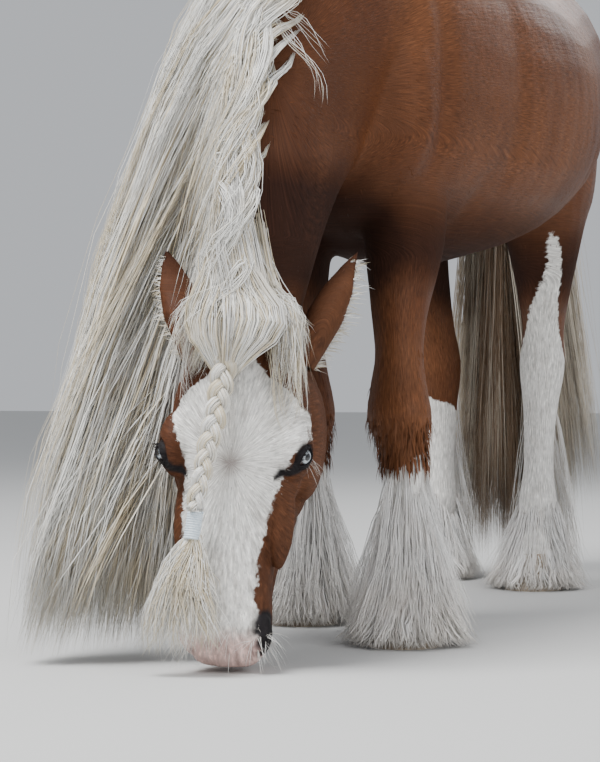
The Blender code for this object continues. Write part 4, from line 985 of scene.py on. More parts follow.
def eye_material():
    """A wall eye: a dark oval pupil in a pale streaked iris, the dark rim of the white, and a wet coat."""
    nodes = Nodes("eye")
    coords = nodes.add("ShaderNodeTexCoord").outputs["Object"]
    split = nodes.add("ShaderNodeSeparateXYZ", inputs={"Vector": coords})
    u, v = (nodes.math("DIVIDE", split.outputs[k], EYE_RADIUS) for k in ("X", "Y"))
    radius = nodes.length(u, v)
    pupil = nodes.length(u, nodes.math("MULTIPLY", v, 1.35))
    angle = nodes.math("ARCTAN2", v, u)
    turned = nodes.add("ShaderNodeCombineXYZ", inputs={"X": nodes.math("MULTIPLY", angle, 6.0), "Y": radius})
    inputs = {"Vector": turned.outputs[0], "Scale": 3.0, "Detail": 4.0}
    streak = nodes.add("ShaderNodeTexNoise", inputs=inputs)
    iris = nodes.mix(nodes.ramp(streak.outputs["Fac"], 0.35, 0.7), (0.42, 0.50, 0.56), (0.78, 0.82, 0.84))
    iris = nodes.mix(nodes.ramp(radius, 0.43, 0.54, 0.0, 0.85), iris, (0.08, 0.10, 0.12))
    white = nodes.mix(nodes.noise(140.0), (0.050, 0.030, 0.026), (0.020, 0.012, 0.011))
    colour = nodes.mix(nodes.ramp(radius, 0.52, 0.57), iris, white)
    colour = nodes.mix(nodes.ramp(pupil, 0.29, 0.34), (0.004, 0.004, 0.006), colour)
    return nodes.surface(Base_Color=colour, Roughness=0.25, Coat_Weight=1.0, Coat_Roughness=0.03)


def horn_material():
    """Pale hoof horn with growth rings."""
    nodes = Nodes("horn")
    coords = nodes.add("ShaderNodeTexCoord").outputs["Object"]
    inputs = {"Vector": coords, "Scale": 38.0, "Distortion": 2.0, "Detail": 2.0}
    wave = nodes.add("ShaderNodeTexWave", bands_direction="Z", inputs=inputs).outputs["Fac"]
    colour = nodes.mix(wave, (0.46, 0.38, 0.29), (0.36, 0.29, 0.22))
    colour = nodes.mix(nodes.ramp(nodes.noise(45.0, 4.0), 0.45, 0.75, 0.0, 0.6), colour, (0.20, 0.16, 0.12))
    return nodes.surface(Base_Color=colour, Roughness=0.55, Normal=nodes.bump(wave, 0.3, 0.001))


def band_material():
    """The pale elastic of the plait's tie."""
    nodes = Nodes("band")
    colour = nodes.mix(nodes.ramp(nodes.noise(300.0, 2.0), 0.4, 0.7), (0.72, 0.80, 0.86), (0.56, 0.66, 0.74))
    normal = nodes.bump(nodes.noise(500.0, 2.0), 0.3, 0.0006)
    return nodes.surface(Base_Color=colour, Roughness=0.45, Normal=normal)


# The side of each strand's patch on the map.
PATCH = 0.003


def strand_mesh(name, paths, widths, facing, thickness, spots, values, shade=None):
    """Many closed, tapered strands: paths and widths by strand and step, and the way each faces.

    Spots are the places of the strands' roots on an unwrap of the skin, where each gets its patch of the map.
    Shade gives the normals that short tufts take from the skin under them.
    """
    count, steps = paths.shape[:2]
    along = unit(np.gradient(paths, axis=1))
    if facing.ndim == 2:
        facing = np.repeat(facing[:, None], steps, 1)
    face = unit(facing - along * (along * facing).sum(-1, keepdims=True))
    side = np.cross(along, face)
    wide = widths[..., None]
    rings = np.stack([paths + side * wide, paths - side * wide, paths + face * wide * thickness], axis=2)
    body = rings[:, :-1].reshape(count, -1, 3)
    points = np.concatenate([body, paths[:, -1:]], axis=1)
    per = (steps - 1) * 3 + 1
    starts = np.arange(count)[:, None] * per
    quads, tris = [], [(0, 2, 1)]
    for i in range(steps - 2):
        for k in range(3):
            a, b = i * 3 + k, i * 3 + (k + 1) % 3
            quads.append((a, b, b + 3, a + 3))
    last = (steps - 2) * 3
    for k in range(3):
        tris.append((last + k, last + (k + 1) % 3, per - 1))
    quads, tris = np.array(quads, int).reshape(-1, 4), np.array(tris, int)
    loops = np.concatenate([(starts[:, :, None] + quads[None]).reshape(count, -1),
                            (starts[:, :, None] + tris[None]).reshape(count, -1)], axis=1).ravel()
    sizes = np.tile(np.concatenate([np.full(len(quads), 4), np.full(len(tris), 3)]), count)
    mesh = bpy.data.meshes.new(name)
    mesh.vertices.add(count * per)
    mesh.vertices.foreach_set("co", points.reshape(-1).astype(np.float32))
    mesh.loops.add(len(loops))
    mesh.loops.foreach_set("vertex_index", loops.astype(np.int32))
    mesh.polygons.add(len(sizes))
    mesh.polygons.foreach_set("loop_start", np.concatenate([[0], np.cumsum(sizes)[:-1]]).astype(np.int32))
    mesh.update(calc_edges=True)
    share = np.concatenate([np.repeat(np.arange(steps - 1), 3), [steps - 1]]) / (steps - 1)
    around = np.concatenate([np.tile([0.0, 1.0, 0.5], steps - 1), [0.5]])
    flat = (spots[:, None] + PATCH * np.stack([around, share], axis=-1)).reshape(-1, 2)
    layer = mesh.uv_layers.new(name="OFBake")
    layer.uv.foreach_set("vector", flat[loops].astype(np.float32).ravel())
    stored = {key: np.repeat(number, per) for key, number in values.items()}
    stored["along"] = np.tile(share, count)
    add_fields(mesh, stored)
    if shade is not None:
        mesh.shade_smooth()
        mesh.normals_split_custom_set_from_vertices(np.repeat(shade, per, axis=0).tolist())
    return mesh


def surface_points(mesh, count, rng, weight):
    """Random places on a mesh with their normals, denser where the weight, a function of points, is more."""
    mesh.calc_loop_triangles()
    corners = np.empty(len(mesh.loop_triangles) * 3, np.int32)
    mesh.loop_triangles.foreach_get("vertices", corners)
    points, normals = arrays(mesh)
    corners = corners.reshape(-1, 3)
    a, b, c = (points[corners[:, k]] for k in range(3))
    area = np.linalg.norm(np.cross(b - a, c - a), axis=1) / 2 * weight((a + b + c) / 3)
    chosen = rng.choice(len(area), count, p=area / area.sum())
    r, s = np.sqrt(rng.random(count)), rng.random(count)
    shares = np.stack([1 - r, r * (1 - s), r * s], axis=1)[..., None]
    found = (np.stack([a[chosen], b[chosen], c[chosen]], axis=1) * shares).sum(1)
    ways = (normals[corners[chosen]] * shares).sum(1)
    return found, unit(ways)


def lie_of_coat(points, normals):
    """The way the short hair lies: down the face from its whorl, back along the body and down the legs."""
    head = to_head(points)
    from_whorl = head - np.array([0.005, 0.0, -0.262])
    from_whorl[:, 2] = np.where(from_whorl[:, 2] < 0, from_whorl[:, 2] * 1.5, from_whorl[:, 2] * 0.8)
    face_way = unit(from_whorl) @ HEAD_TURNED.T
    neck_way = np.array([0.0, 0.55, -0.15])
    body_way = np.array([0.0, 1.0, -0.35])
    leg_way = np.array([0.0, 0.25, -1.0])
    on_head = smooth(-points[:, 1], 0.44, 0.54) * (1 - smooth(points[:, 2], 0.62, 0.72))
    on_leg = 1 - smooth(points[:, 2], 0.72, 0.95)
    on_neck = smooth(-points[:, 1], 0.10, 0.35)
    way = body_way * (1 - on_neck[:, None]) + neck_way * on_neck[:, None]
    way = way * (1 - on_leg[:, None]) + leg_way * on_leg[:, None]
    way = way * (1 - on_head[:, None]) + face_way * on_head[:, None]
    return unit(way - normals * (way * normals).sum(1, keepdims=True))


def body_unwrap(points):
    """Places of points on an unwrap of the skin: strips for the head, the neck and body, and the legs."""
    x, y, z = points.T
    head = to_head(points)
    spots = np.empty((len(points), 2))
    round_body = np.arctan2(x, z - 1.0) / math.tau + 0.5
    spots[:, 0] = 0.02 + 0.93 * (y + 0.75) / 2.15
    spots[:, 1] = 0.02 + 0.46 * round_body
    in_head = (y < -0.42) & (z < 0.70)
    spots[in_head, 0] = 0.02 + 0.30 * (np.arctan2(head[in_head, 0], 0.10 - head[in_head, 1]) / math.tau + 0.5)
    spots[in_head, 1] = 0.52 + 0.44 * (head[in_head, 2] + 0.62) / 0.75
    low = (z < 0.80) & ~in_head
    for k, (leg, table) in enumerate(all_legs()):
        near = low & beside_leg(points, leg)
        middle_x, middle_y = leg_middle(table, z[near])
        angle = np.arctan2(x[near] - middle_x, y[near] - middle_y) / math.tau + 0.5
        spots[near, 0] = 0.345 + 0.155 * k + 0.145 * angle
        spots[near, 1] = 0.52 + 0.44 * z[near] / 0.80
    return np.clip(spots, 0.002, 0.995)


def curved(roots, normals, ways, lengths, lift, steps, sag=0.0):
    """Short paths from roots that lift off the skin and lie back along the given ways."""
    share = np.linspace(0, 1, steps)[None, :, None]
    long = lengths[:, None, None]
    paths = roots[:, None] + ways[:, None] * long * share
    paths = paths + normals[:, None] * (lift * long * np.sin(share * 2.2))
    return paths - np.array([0, 0, 1.0]) * sag * long * share**2


def short_fur(mesh, rng):
    """Small flat tufts over the whole coat, finest on the face."""
    pieces = []
    for name, count, weight, length, width, lift in FUR:
        roots, normals = surface_points(mesh, count, rng, weight)
        ways = lie_of_coat(roots, normals)
        across = np.cross(normals, ways)
        ways = unit(ways + across * rng.normal(0, 0.16, (count, 1)))
        lengths = length * rng.uniform(0.6, 1.25, count)
        paths = curved(roots - normals * 0.0008, normals, ways, lengths, lift, 3)
        widths = width * rng.uniform(0.7, 1.3, count)[:, None] * np.array([1.0, 0.8, 0.0])
        values = {"tone": rng.random(count), **all_fields(roots)}
        shade = unit(normals + 0.15 * rng.normal(0, 1, normals.shape))
        spots = body_unwrap(roots)
        pieces.append((name, strand_mesh(name, paths, widths, normals, 0.35, spots, values, shade)))
    return pieces


def head_weight(points):
    """Where the head's short fur grows: not in the eyes or the nostrils."""
    head = to_head(points)
    open_eyes = np.ones(len(points))
    for _, side in SIDES:
        centre, slant, across, facing = eye_axes(side)
        local = head - centre
        inside = (lid_edge(local @ slant, local @ across) < 0.0035) & (local @ facing > -0.01)
        open_eyes[inside & (side * head[:, 0] > 0)] = 0
    nose = [np.linalg.norm(head - [s * 0.056, 0.040, -0.541], axis=1) > 0.019 for s in (1, -1)]
    return ((points[:, 1] < -0.40) & (points[:, 2] < 0.74)) * open_eyes * nose[0] * nose[1]


def front_weight(points):
    """The neck, shoulders and forelegs."""
    return ((points[:, 1] > -0.46) | (points[:, 2] > 0.72)) * (points[:, 1] < 0.50) * (points[:, 2] > 0.25)


def back_weight(points):
    """The barrel, quarters and hind legs."""
    return (points[:, 1] >= 0.50) * (points[:, 2] > 0.25)


# The short fur's pieces: name, tufts, where they grow, length, half width and how far they lift off the skin.
FUR = [
    ("fur_head", 9000, head_weight, 0.0085, 0.00075, 0.10),
    ("fur_front", 7500, front_weight, 0.0170, 0.00105, 0.035),
    ("fur_back", 7500, back_weight, 0.0180, 0.00120, 0.035),
]


def painted_shade(points):
    """How much shade is painted into the coat: underneath, between the legs, on the belly, inside the thighs,
    and some over the neck and head.
    """
    x, y, z = points.T
    belly = 1 - smooth(z, 0.72, 0.90)
    body = smooth(z, 0.60, 0.72)
    inner = 1 - smooth(np.abs(x), 0.05, 0.14)
    head = 0.20 * (1 - smooth(y, -0.50, -0.42)) * (1 - smooth(z, 0.60, 0.72))
    ahead = 0.22 * (1 - smooth(y, -0.45, -0.12)) + head
    under = 0.95 * belly * body + 0.6 * inner * (1 - smooth(z, 0.75, 0.95)) * smooth(z, 0.45, 0.60)
    return np.clip(np.maximum(under, ahead), 0, 1)


def push_clear(paths, tree, distance, start=1):
    """Moves the points of paths out until they keep this distance from the skin, from the given step on."""
    flat = paths.reshape(-1, 3)
    for i in range(len(flat)):
        if i % paths.shape[1] < start:
            continue
        place, normal, _, _ = tree.find_nearest(Vector(flat[i]), 0.12)
        if place is None:
            continue
        height = (Vector(flat[i]) - place).dot(normal)
        if height < distance:
            flat[i] += np.array(normal) * (distance - height)
    return flat.reshape(paths.shape)


def resample(paths, steps):
    """Smooth paths with more steps through coarse ones, all at once."""
    at = np.linspace(0, paths.shape[1] - 1, steps)
    i = np.clip(at.astype(int), 0, paths.shape[1] - 2)
    slopes = np.gradient(paths, axis=1)
    return through((at - i)[None, :, None], 1, paths[:, i], paths[:, i + 1], slopes[:, i], slopes[:, i + 1])


def tresses(guides, each, rng, spread, steps, wave, facing, width, cut=(0.75, 1.0)):
    """Strands round each guide path: spread, wave and width are numbers at the root, middle and tip.

    Gives the strands' paths, widths and facings, and the number of each one's guide.
    """
    count = len(guides) * each
    guide = np.repeat(np.arange(len(guides)), each)
    paths = resample(guides, steps)[guide]
    share = np.linspace(0, 1, steps)[None]
    ends = rng.uniform(*cut, count)[:, None]
    at = share * ends * (steps - 1)
    low = np.clip(at.astype(int), 0, steps - 2)
    rows = np.arange(count)[:, None]
    paths = paths[rows, low] + (paths[rows, low + 1] - paths[rows, low]) * (at - low)[..., None]
    along = unit(np.gradient(paths, axis=1))
    ways = np.broadcast_to(facing[guide][:, None], paths.shape)
    face = unit(ways - along * (along * ways).sum(-1, keepdims=True))
    side = np.cross(along, face)
    angle, far = rng.uniform(0, math.tau, count), np.sqrt(rng.random(count))
    reach = np.interp(share, [0, 0.5, 1], spread) * far[:, None]
    flat = 0.55
    turn = angle[:, None] + share * rng.uniform(-1.2, 1.2, (count, 1))
    paths = paths + side * (reach * np.cos(turn))[..., None] + face * (reach * flat * np.sin(turn))[..., None]
    phase = rng.uniform(0, math.tau, (len(guides), 2))[guide] + rng.normal(0, 0.5, (count, 2))
    often = rng.uniform(0.7, 1.5, (len(guides), 2))[guide]
    swing = np.interp(share, [0, 0.5, 1], wave)
    paths = paths + side * (swing * np.sin(phase[:, :1] + share * often[:, :1] * math.tau * 1.3))[..., None]
    paths = paths + face * (0.6 * swing * np.sin(phase[:, 1:] + share * often[:, 1:] * math.tau))[..., None]
    thick = np.interp(share, [0, 0.15, 0.6, 1], width) * rng.uniform(0.6, 1.4, count)[:, None]
    return paths, thick, face, guide


def spread_spots(guide, guides, rng):
    """Places on the unwrap of a strip of skin for strands whose guides stand in a row."""
    count = len(guide)
    along = (guide + rng.random(count)) / guides
    return 0.01 + 0.97 * np.stack([along, rng.random(count)], axis=1)


def strand_piece(name, tress, rng, guides, tone, thickness=0.7):
    """The name and mesh of some tresses, each strand with its own tone round its guide's."""
    paths, widths, face, guide = tress
    own = np.clip(tone[guide] + rng.normal(0, 0.16, len(guide)), 0, 1)
    hold_in(paths)
    spots = spread_spots(guide, guides, rng)
    return name, strand_mesh(name, paths, widths, face, thickness, spots, {"tone": own})


HAIR_FLOOR = 0.0025
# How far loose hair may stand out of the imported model's box, sideways and lengthways, and where it eases.
PROUD, EASE = (0.027, 0.066), 0.050


def hold_in(paths):
    """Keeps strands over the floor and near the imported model's box, easing them in towards its sides."""
    paths[..., 2] = np.maximum(paths[..., 2], HAIR_FLOOR)
    for axis in (0, 1):
        for corner, sign in ((CAD_BOX[0], -1), (CAD_BOX[1], 1)):
            start = sign * (corner[axis] - SHIFT[axis]) + PROUD[axis] - EASE
            over = np.maximum(0.0, sign * paths[..., axis] - start)
            paths[..., axis] -= sign * (over - EASE * (1 - np.exp(-over / EASE)))


CREST = spline(NECK, 60)
CREST_ACROSS, CREST_ABOVE = across_and_above(CREST)


def crest(share):
    """Points on the crest at shares of its length from the poll to the withers."""
    at = share * 59
    i = np.clip(at.astype(int), 0, 58)
    f = (at - i)[:, None]
    row = CREST[i] * (1 - f) + CREST[i + 1] * f
    return row[:, :3] + CREST_ABOVE[i] * row[:, 4:5]


def crest_path(shares, around, lift):
    """Points at some shares along the crest, turned round the neck by an angle, this far off its skin."""
    i = np.clip((np.asarray(shares) * 59).astype(int), 0, 59)
    across, above = CREST_ACROSS[i], CREST_ABOVE[i]
    wide, deep = CREST[i, 3] + lift, CREST[i, 4] + lift
    around = np.broadcast_to(around, i.shape)
    up, aside = np.cos(around), np.sin(around)
    points = CREST[i, :3] + above * (deep * up)[:, None] + across * (wide * aside)[:, None]
    return points, unit(above * up[:, None] + across * aside[:, None])


# The mane falls behind the right ear and cheek: no further ahead than these, beside the ear and lower down.
EAR_BACK, MANE_FRONT = -0.435, -0.525


def mane_guides(count, rng, layer):
    """Guide paths of the mane's hair from the crest over the neck's right side, down to the floor."""
    share = 0.92 * ((np.arange(count) + rng.random(count)) / count) ** 1.15
    point = crest(share)
    lateral = rng.random(count)
    end_z = 0.004 + np.maximum(0.0, (share - 0.50) * 1.20) + 0.04 * rng.random(count) * rng.random(count)
    tip_x = -0.150 - 0.255 * lateral + rng.normal(0, 0.010, count)
    tip_y = np.maximum(point[:, 1], MANE_FRONT) + 0.02 - 0.15 * lateral + rng.normal(0, 0.02, count)
    out = 0.008 + 0.012 * layer + 0.045 * lateral
    drop = point[:, 2] - end_z
    steps = [crest_path(share, rng.normal(-0.05, 0.08, count), -0.004)[0],
             crest_path(share - 0.025, rng.normal(-0.32, 0.08, count), 0.010 + 0.6 * out)[0],
             crest_path(share - 0.070, rng.normal(-0.80, 0.10, count), 0.010 + 0.9 * out)[0]]
    for step in steps[1:]:
        step[:, 1] += smooth(-step[:, 0], 0.04, 0.09) * np.maximum(0.0, EAR_BACK - step[:, 1])
    second = crest_path(share - 0.140, rng.normal(-1.30, 0.10, count), 0.006 + 1.3 * out)[0]
    second[:, 1] = np.maximum(second[:, 1], EAR_BACK + 0.04 * rng.random(count))
    second[:, 2] -= 0.70 * np.maximum(0, 0.140 - share)
    steps.append(second)
    for fall, pull in ((0.38, 0.45), (0.62, 0.74), (0.82, 0.92)):
        x = second[:, 0] + (tip_x - second[:, 0]) * pull
        y = second[:, 1] + (tip_y - second[:, 1]) * pull
        z = np.minimum(point[:, 2] - fall * drop, second[:, 2] - 0.30 * fall)
        beside_ear = smooth(z, 0.42, 0.52) * smooth(x, -0.31, -0.25)
        y = y + beside_ear * np.maximum(0.0, EAR_BACK + 0.015 - y)
        steps.append(np.stack([x, y, z], 1))
    steps.append(np.stack([tip_x, tip_y, end_z], 1))
    guides = np.stack(steps, axis=1)
    ahead = -0.5 - 0.4 * lateral + rng.normal(0, 0.2, count)
    facing = unit(np.stack([np.full(count, -1.0), ahead, np.full(count, 0.3)], 1))
    return guides, facing


def flyaways(tress, rng, share, reach):
    """Lets a share of the strands stray from the rest, more and more towards the tip."""
    paths = tress[0]
    loose = (rng.random(len(paths)) < share)[:, None, None]
    way = unit(rng.normal(0, 1, (len(paths), 1, 3)) * [1, 1, 0.35])
    along = np.linspace(0, 1, paths.shape[1])[None, :, None]
    paths += loose * way * reach * along**1.6 * rng.uniform(0.3, 1.0, (len(paths), 1, 1))
    return tress


# The mane's layers from the neck outwards, and half the width of their hairs.
MANE_LAYERS = [("mane_under", 0.0034), ("mane_middle", 0.0015), ("mane_over", 0.0010), ("mane_top", 0.0009)]


def mane(tree, rng):
    """The mane in overlapping pieces, from the neck outwards."""
    pieces = []
    count, each = 120, 30
    for layer, (name, half) in enumerate(MANE_LAYERS):
        guides, facing = mane_guides(count, rng, layer * 0.7)
        guides = push_clear(guides, tree, 0.008 + 0.003 * layer, 2)
        tress = tresses(guides, each, rng, (0.012, 0.026, 0.022), 7, (0.002, 0.015, 0.028), facing,
                        (0.2 * half, half, 0.8 * half, 0.0002), (0.86, 1.0))
        flyaways(tress, rng, 0.10, 0.06)
        tone = np.clip(rng.normal(0.60, 0.22, count), 0, 1)
        pieces.append(strand_piece(name, tress, rng, count, tone))
    return pieces


def crest_locks(tree, rng):
    """Wavy locks that run down the crest, wind over each other and spill on to the mane."""
    count, each, steps = 60, 31, 12
    guides, facing = [], []
    for k in range(count):
        start = 0.10 + 0.74 * ((k + rng.random()) / count) ** 1.2
        end = max(0.0, start - rng.uniform(0.22, 0.42))
        shares = np.linspace(start, end, steps)
        share = np.linspace(0, 1, steps)
        swing = rng.uniform(0.10, 0.26) * np.sin(share * math.tau * rng.uniform(0.8, 1.6)
                                                 + rng.uniform(0, math.tau))
        around = rng.uniform(-0.30, 0.22) + swing - rng.uniform(0.2, 1.1) * share**2.2
        around = np.maximum(around, -0.55 - 4.0 * shares)
        lift = 0.006 + 0.022 * rng.random() + 0.012 * np.sin(share * math.pi) * rng.random()
        lift = -0.005 + (lift + 0.005) * smooth(share, 0.0, 0.22)
        points, ways = crest_path(shares, around, lift)
        fall = smooth(share, 0.72, 1.0)[:, None]
        points = points + fall * np.array([-0.020, -0.015, -0.06])
        guides.append(points)
        facing.append(ways[steps // 2] + [-0.2, -0.3, 0])
    guides = push_clear(np.array(guides), tree, 0.008, 2)
    tress = tresses(guides, each, rng, (0.005, 0.014, 0.012), 11, (0.001, 0.005, 0.008), unit(facing),
                    (0.0002, 0.0011, 0.0009, 0.0002), (0.60, 1.0))
    flyaways(tress, rng, 0.06, 0.05)
    tone = np.clip(rng.normal(0.62, 0.2, count), 0, 1)
    return [strand_piece("mane_crest", tress, rng, count, tone)]


def blown_locks(tree, rng):
    """A few locks that hang or blow over the neck's left side."""
    guides, facing = [], []
    for k in range(9):
        start = rng.uniform(0.55, 0.86)
        shares = np.linspace(start, start - rng.uniform(0.05, 0.14), 8)
        share = np.linspace(0, 1, 8)
        around = -0.05 + rng.uniform(0.5, 1.15) * share + 0.12 * np.sin(share * 5 + k)
        points, ways = crest_path(shares, around, 0.010 + 0.018 * share)
        guides.append(points)
        facing.append(ways[4])
    guides = push_clear(np.array(guides), tree, 0.006, 1)
    tress = tresses(guides, 9, rng, (0.004, 0.007, 0.012), 12, (0.001, 0.004, 0.010), unit(facing),
                    (0.0003, 0.0007, 0.0006, 0.0002), (0.5, 1.0))
    return [strand_piece("mane_blown", tress, rng, 9, rng.uniform(0.5, 0.9, 9))]


def tail(tree, rng):
    """The full tail, with shade painted into its middle: hair that leaves the dock along it and ends near the
    floor.
    """
    pieces = []
    dock = spline([(0, y, z, r) for y, z, r in DOCK], 40)
    along = unit(np.gradient(dock[:, :3], axis=0))
    above = np.cross([1.0, 0, 0], along)
    count, each = 96, 24
    for name, first, last, turn in (("tail_under", 0.30, 0.92, 2.6), ("tail_over", 0.02, 0.50, 1.75)):
        outer = name == "tail_over"
        begin = rng.uniform(first, last, count)
        around = turn * np.sin(rng.uniform(-1, 1, count) * math.pi / 2)
        way = np.stack([np.sin(around), np.cos(around)], 1)
        steps = []
        for ahead, lift in ((0.0, -0.004), (0.10, 0.005), (0.22, 0.012), (0.36, 0.018)):
            i = np.clip((begin + ahead) * 39, 0, 39).astype(int)
            far = dock[i, 3] + lift * (1.5 if outer else 0.8)
            out = np.stack([way[:, 0], way[:, 1] * above[i, 1], way[:, 1] * above[i, 2]], 1)
            past_end = np.maximum(0, begin + ahead - 1)[:, None]
            steps.append(dock[i, :3] + out * far[:, None] - [0, 0, 1] * past_end * 0.3)
        full = np.sqrt(rng.random(count)) * (1.0 if outer else 0.75)
        tip_x = 0.022 + 0.205 * way[:, 0] * full + rng.normal(0, 0.010, count)
        tip_y = 1.500 + 0.085 * way[:, 1] * full + rng.normal(0, 0.012, count)
        tip_z = 0.004 + rng.uniform(0, 0.05, count) + np.where(tip_x > 0.13, 0.13, 0.0)
        tip, leave = np.stack([tip_x, tip_y, tip_z], 1), steps[-1]
        for fall in (0.22, 0.45, 0.70, 1.0):
            share = np.array([fall**0.62, fall**0.75, fall])
            steps.append(leave + (tip - leave) * share)
        guides = push_clear(np.stack(steps, axis=1), tree, 0.006, 1)
        back = 0.25 + np.abs(way[:, 1]) * np.sign(way[:, 1] + 0.3)
        facing = unit(np.stack([way[:, 0], back, np.full(count, 0.2)], 1))
        tress = tresses(guides, each, rng, (0.010, 0.022, 0.018), 8, (0.001, 0.009, 0.018), facing,
                        (0.0012, 0.0015, 0.0012, 0.0002), (0.94, 1.0))
        flyaways(tress, rng, 0.10, 0.06)
        # Painted shade: strands in the tail's middle keep the dark brown of its shade, those at its sides turn
        # pale.
        pale = 0.5 * smooth(np.abs(tip_x + 0.025), 0.055, 0.125)
        tone = np.clip(0.27 + pale + rng.normal(0, 0.13, count), 0, 1)
        pieces.append(strand_piece(name, tress, rng, count, tone))
    return pieces


# Feather tiers: lowest and highest roots, the tips' height, how far they reach from the leg's middle behind
# and in front, how far forward they grow, how many tresses, and how wide their hairs are.
FEATHER = {
    "fore": [
        (0.080, 0.130, -0.014, 0.112, 0.112, 2.0, 60, 3.0),
        (0.110, 0.190, -0.014, 0.126, 0.118, 2.0, 66, 1.6),
        (0.180, 0.265, -0.010, 0.134, 0.112, 2.0, 62, 0.85),
        (0.250, 0.330, 0.010, 0.132, 0.095, 2.0, 44, 0.75),
    ],
    "hind": [
        (0.060, 0.110, -0.014, 0.106, 0.100, 2.0, 60, 3.0),
        (0.090, 0.150, -0.014, 0.116, 0.104, 2.0, 66, 1.6),
        (0.140, 0.215, -0.010, 0.120, 0.100, 2.0, 60, 0.85),
        (0.210, 0.440, 0.030, 0.112, 0.080, -0.25, 70, 0.75),
    ],
}
# How far hairs of the feather have fallen and spread at steps between root and tip.
FEATHER_FALL = ((0.16, 0.08), (0.40, 0.30), (0.70, 0.62))


def feather(rng):
    """The long silky hair of the lower legs, fanning out from the cannon to the floor."""
    pieces = []
    for (end, side_name), table in all_legs():
        foot_x, foot_y = leg_middle(table, 0.083)
        guides, facing, sizes = [], [], []
        for low, high, tip_low, reach, front_reach, front, count, size in FEATHER[end]:
            for k in range(count):
                angle = math.tau * (k + rng.random()) / count
                out = np.array([math.cos(angle), math.sin(angle), 0])
                if out[1] < -front:
                    continue
                root_z = min(rng.uniform(low, high), STOCKINGS[end, side_name] - 0.004)
                far = (reach + (front_reach - reach) * max(0.0, -out[1])) * rng.uniform(0.86, 1.04)
                tip = np.array([foot_x, foot_y - 0.01, tip_low + 0.010 * rng.random()]) + out * far
                tip += np.array([rng.normal(0, 0.010), rng.normal(0, 0.010), 0])
                root = leg_skin(table, root_z, out, 0.004)
                path = [root]
                for fall, spread in FEATHER_FALL:
                    path.append(root + (tip - root) * [spread, spread, fall] + out * 0.008)
                guides.append([*path, tip])
                facing.append(out)
                sizes.append(size)
        guides, facing = np.array(guides), np.array(facing)
        name = f"feather_{end}_{side_name}"
        paths, widths, face, guide = tresses(guides, 8, rng, (0.003, 0.014, 0.020), 6, (0.000, 0.004, 0.009),
                                             facing, (0.0004, 0.0011, 0.0009, 0.0002), (0.92, 1.0))
        tress = paths, widths * np.array(sizes)[guide][:, None], face, guide
        flyaways(tress, rng, 0.06, 0.03)
        tone = np.clip(rng.normal(0.75, 0.15, len(guides)), 0, 1)
        pieces.append(strand_piece(name, tress, rng, len(guides), tone))
    return pieces


def bristles(name, roots, normals, paths, taper, half, thickness, values, shade=None):
    """Single short hairs from the skin: their half widths at the root and how these taper."""
    widths = np.array(taper) * np.reshape(half, (-1, 1))
    return strand_mesh(name, paths, widths, normals, thickness, body_unwrap(roots), values, shade)


def knee_fringe(rng):
    """The brown hair that hangs over the white below each fore knee, and down the back of the forearm."""
    roots, ways, normals = [], [], []
    for (end, _), table in all_legs():
        if end == "hind":
            continue
        for _ in range(700):
            z = 0.335 + 0.20 * rng.random() ** 1.7
            angle = rng.uniform(0, math.tau)
            out = np.array([math.cos(angle), math.sin(angle), 0])
            roots.append(leg_skin(table, z, out, 0.003))
            normals.append(out)
            ways.append([rng.normal(0, 0.10), rng.normal(0, 0.10) + 0.05, -1.0])
    roots, ways, normals = np.array(roots), unit(ways), np.array(normals)
    shorter = np.interp(roots[:, 2], [0.335, 0.42, 0.535], [1.15, 0.8, 0.35])
    lengths = rng.uniform(0.024, 0.052, len(roots)) * shorter
    paths = curved(roots, normals, ways, lengths, 0.12, 5)
    half = rng.uniform(0.0012, 0.0022, len(roots))
    brown = np.full(len(roots), -1.0)
    # Painted shade: each hair of the fringe takes a random share of the coat's painted shade, darkening its
    # brown.
    values = {"tone": rng.uniform(0.4, 1.0, len(roots)), "white": brown, "dark": brown, "pink": brown,
              "low": rng.uniform(0.18, 0.42, len(roots))}
    shade = unit(normals + 0.2 * rng.normal(0, 1, normals.shape))
    taper = [0.6, 1.0, 0.8, 0.4, 0.05]
    return bristles("knee_fringe", roots, normals, paths, taper, half, 0.5, values, shade)


def on_head_paths(ways, tree, distance, start=1):
    """Paths given in the head's frame, carried to the horse's and kept clear of the skin."""
    return push_clear(moved(np.array(ways, float), PLACE), tree, distance, start)


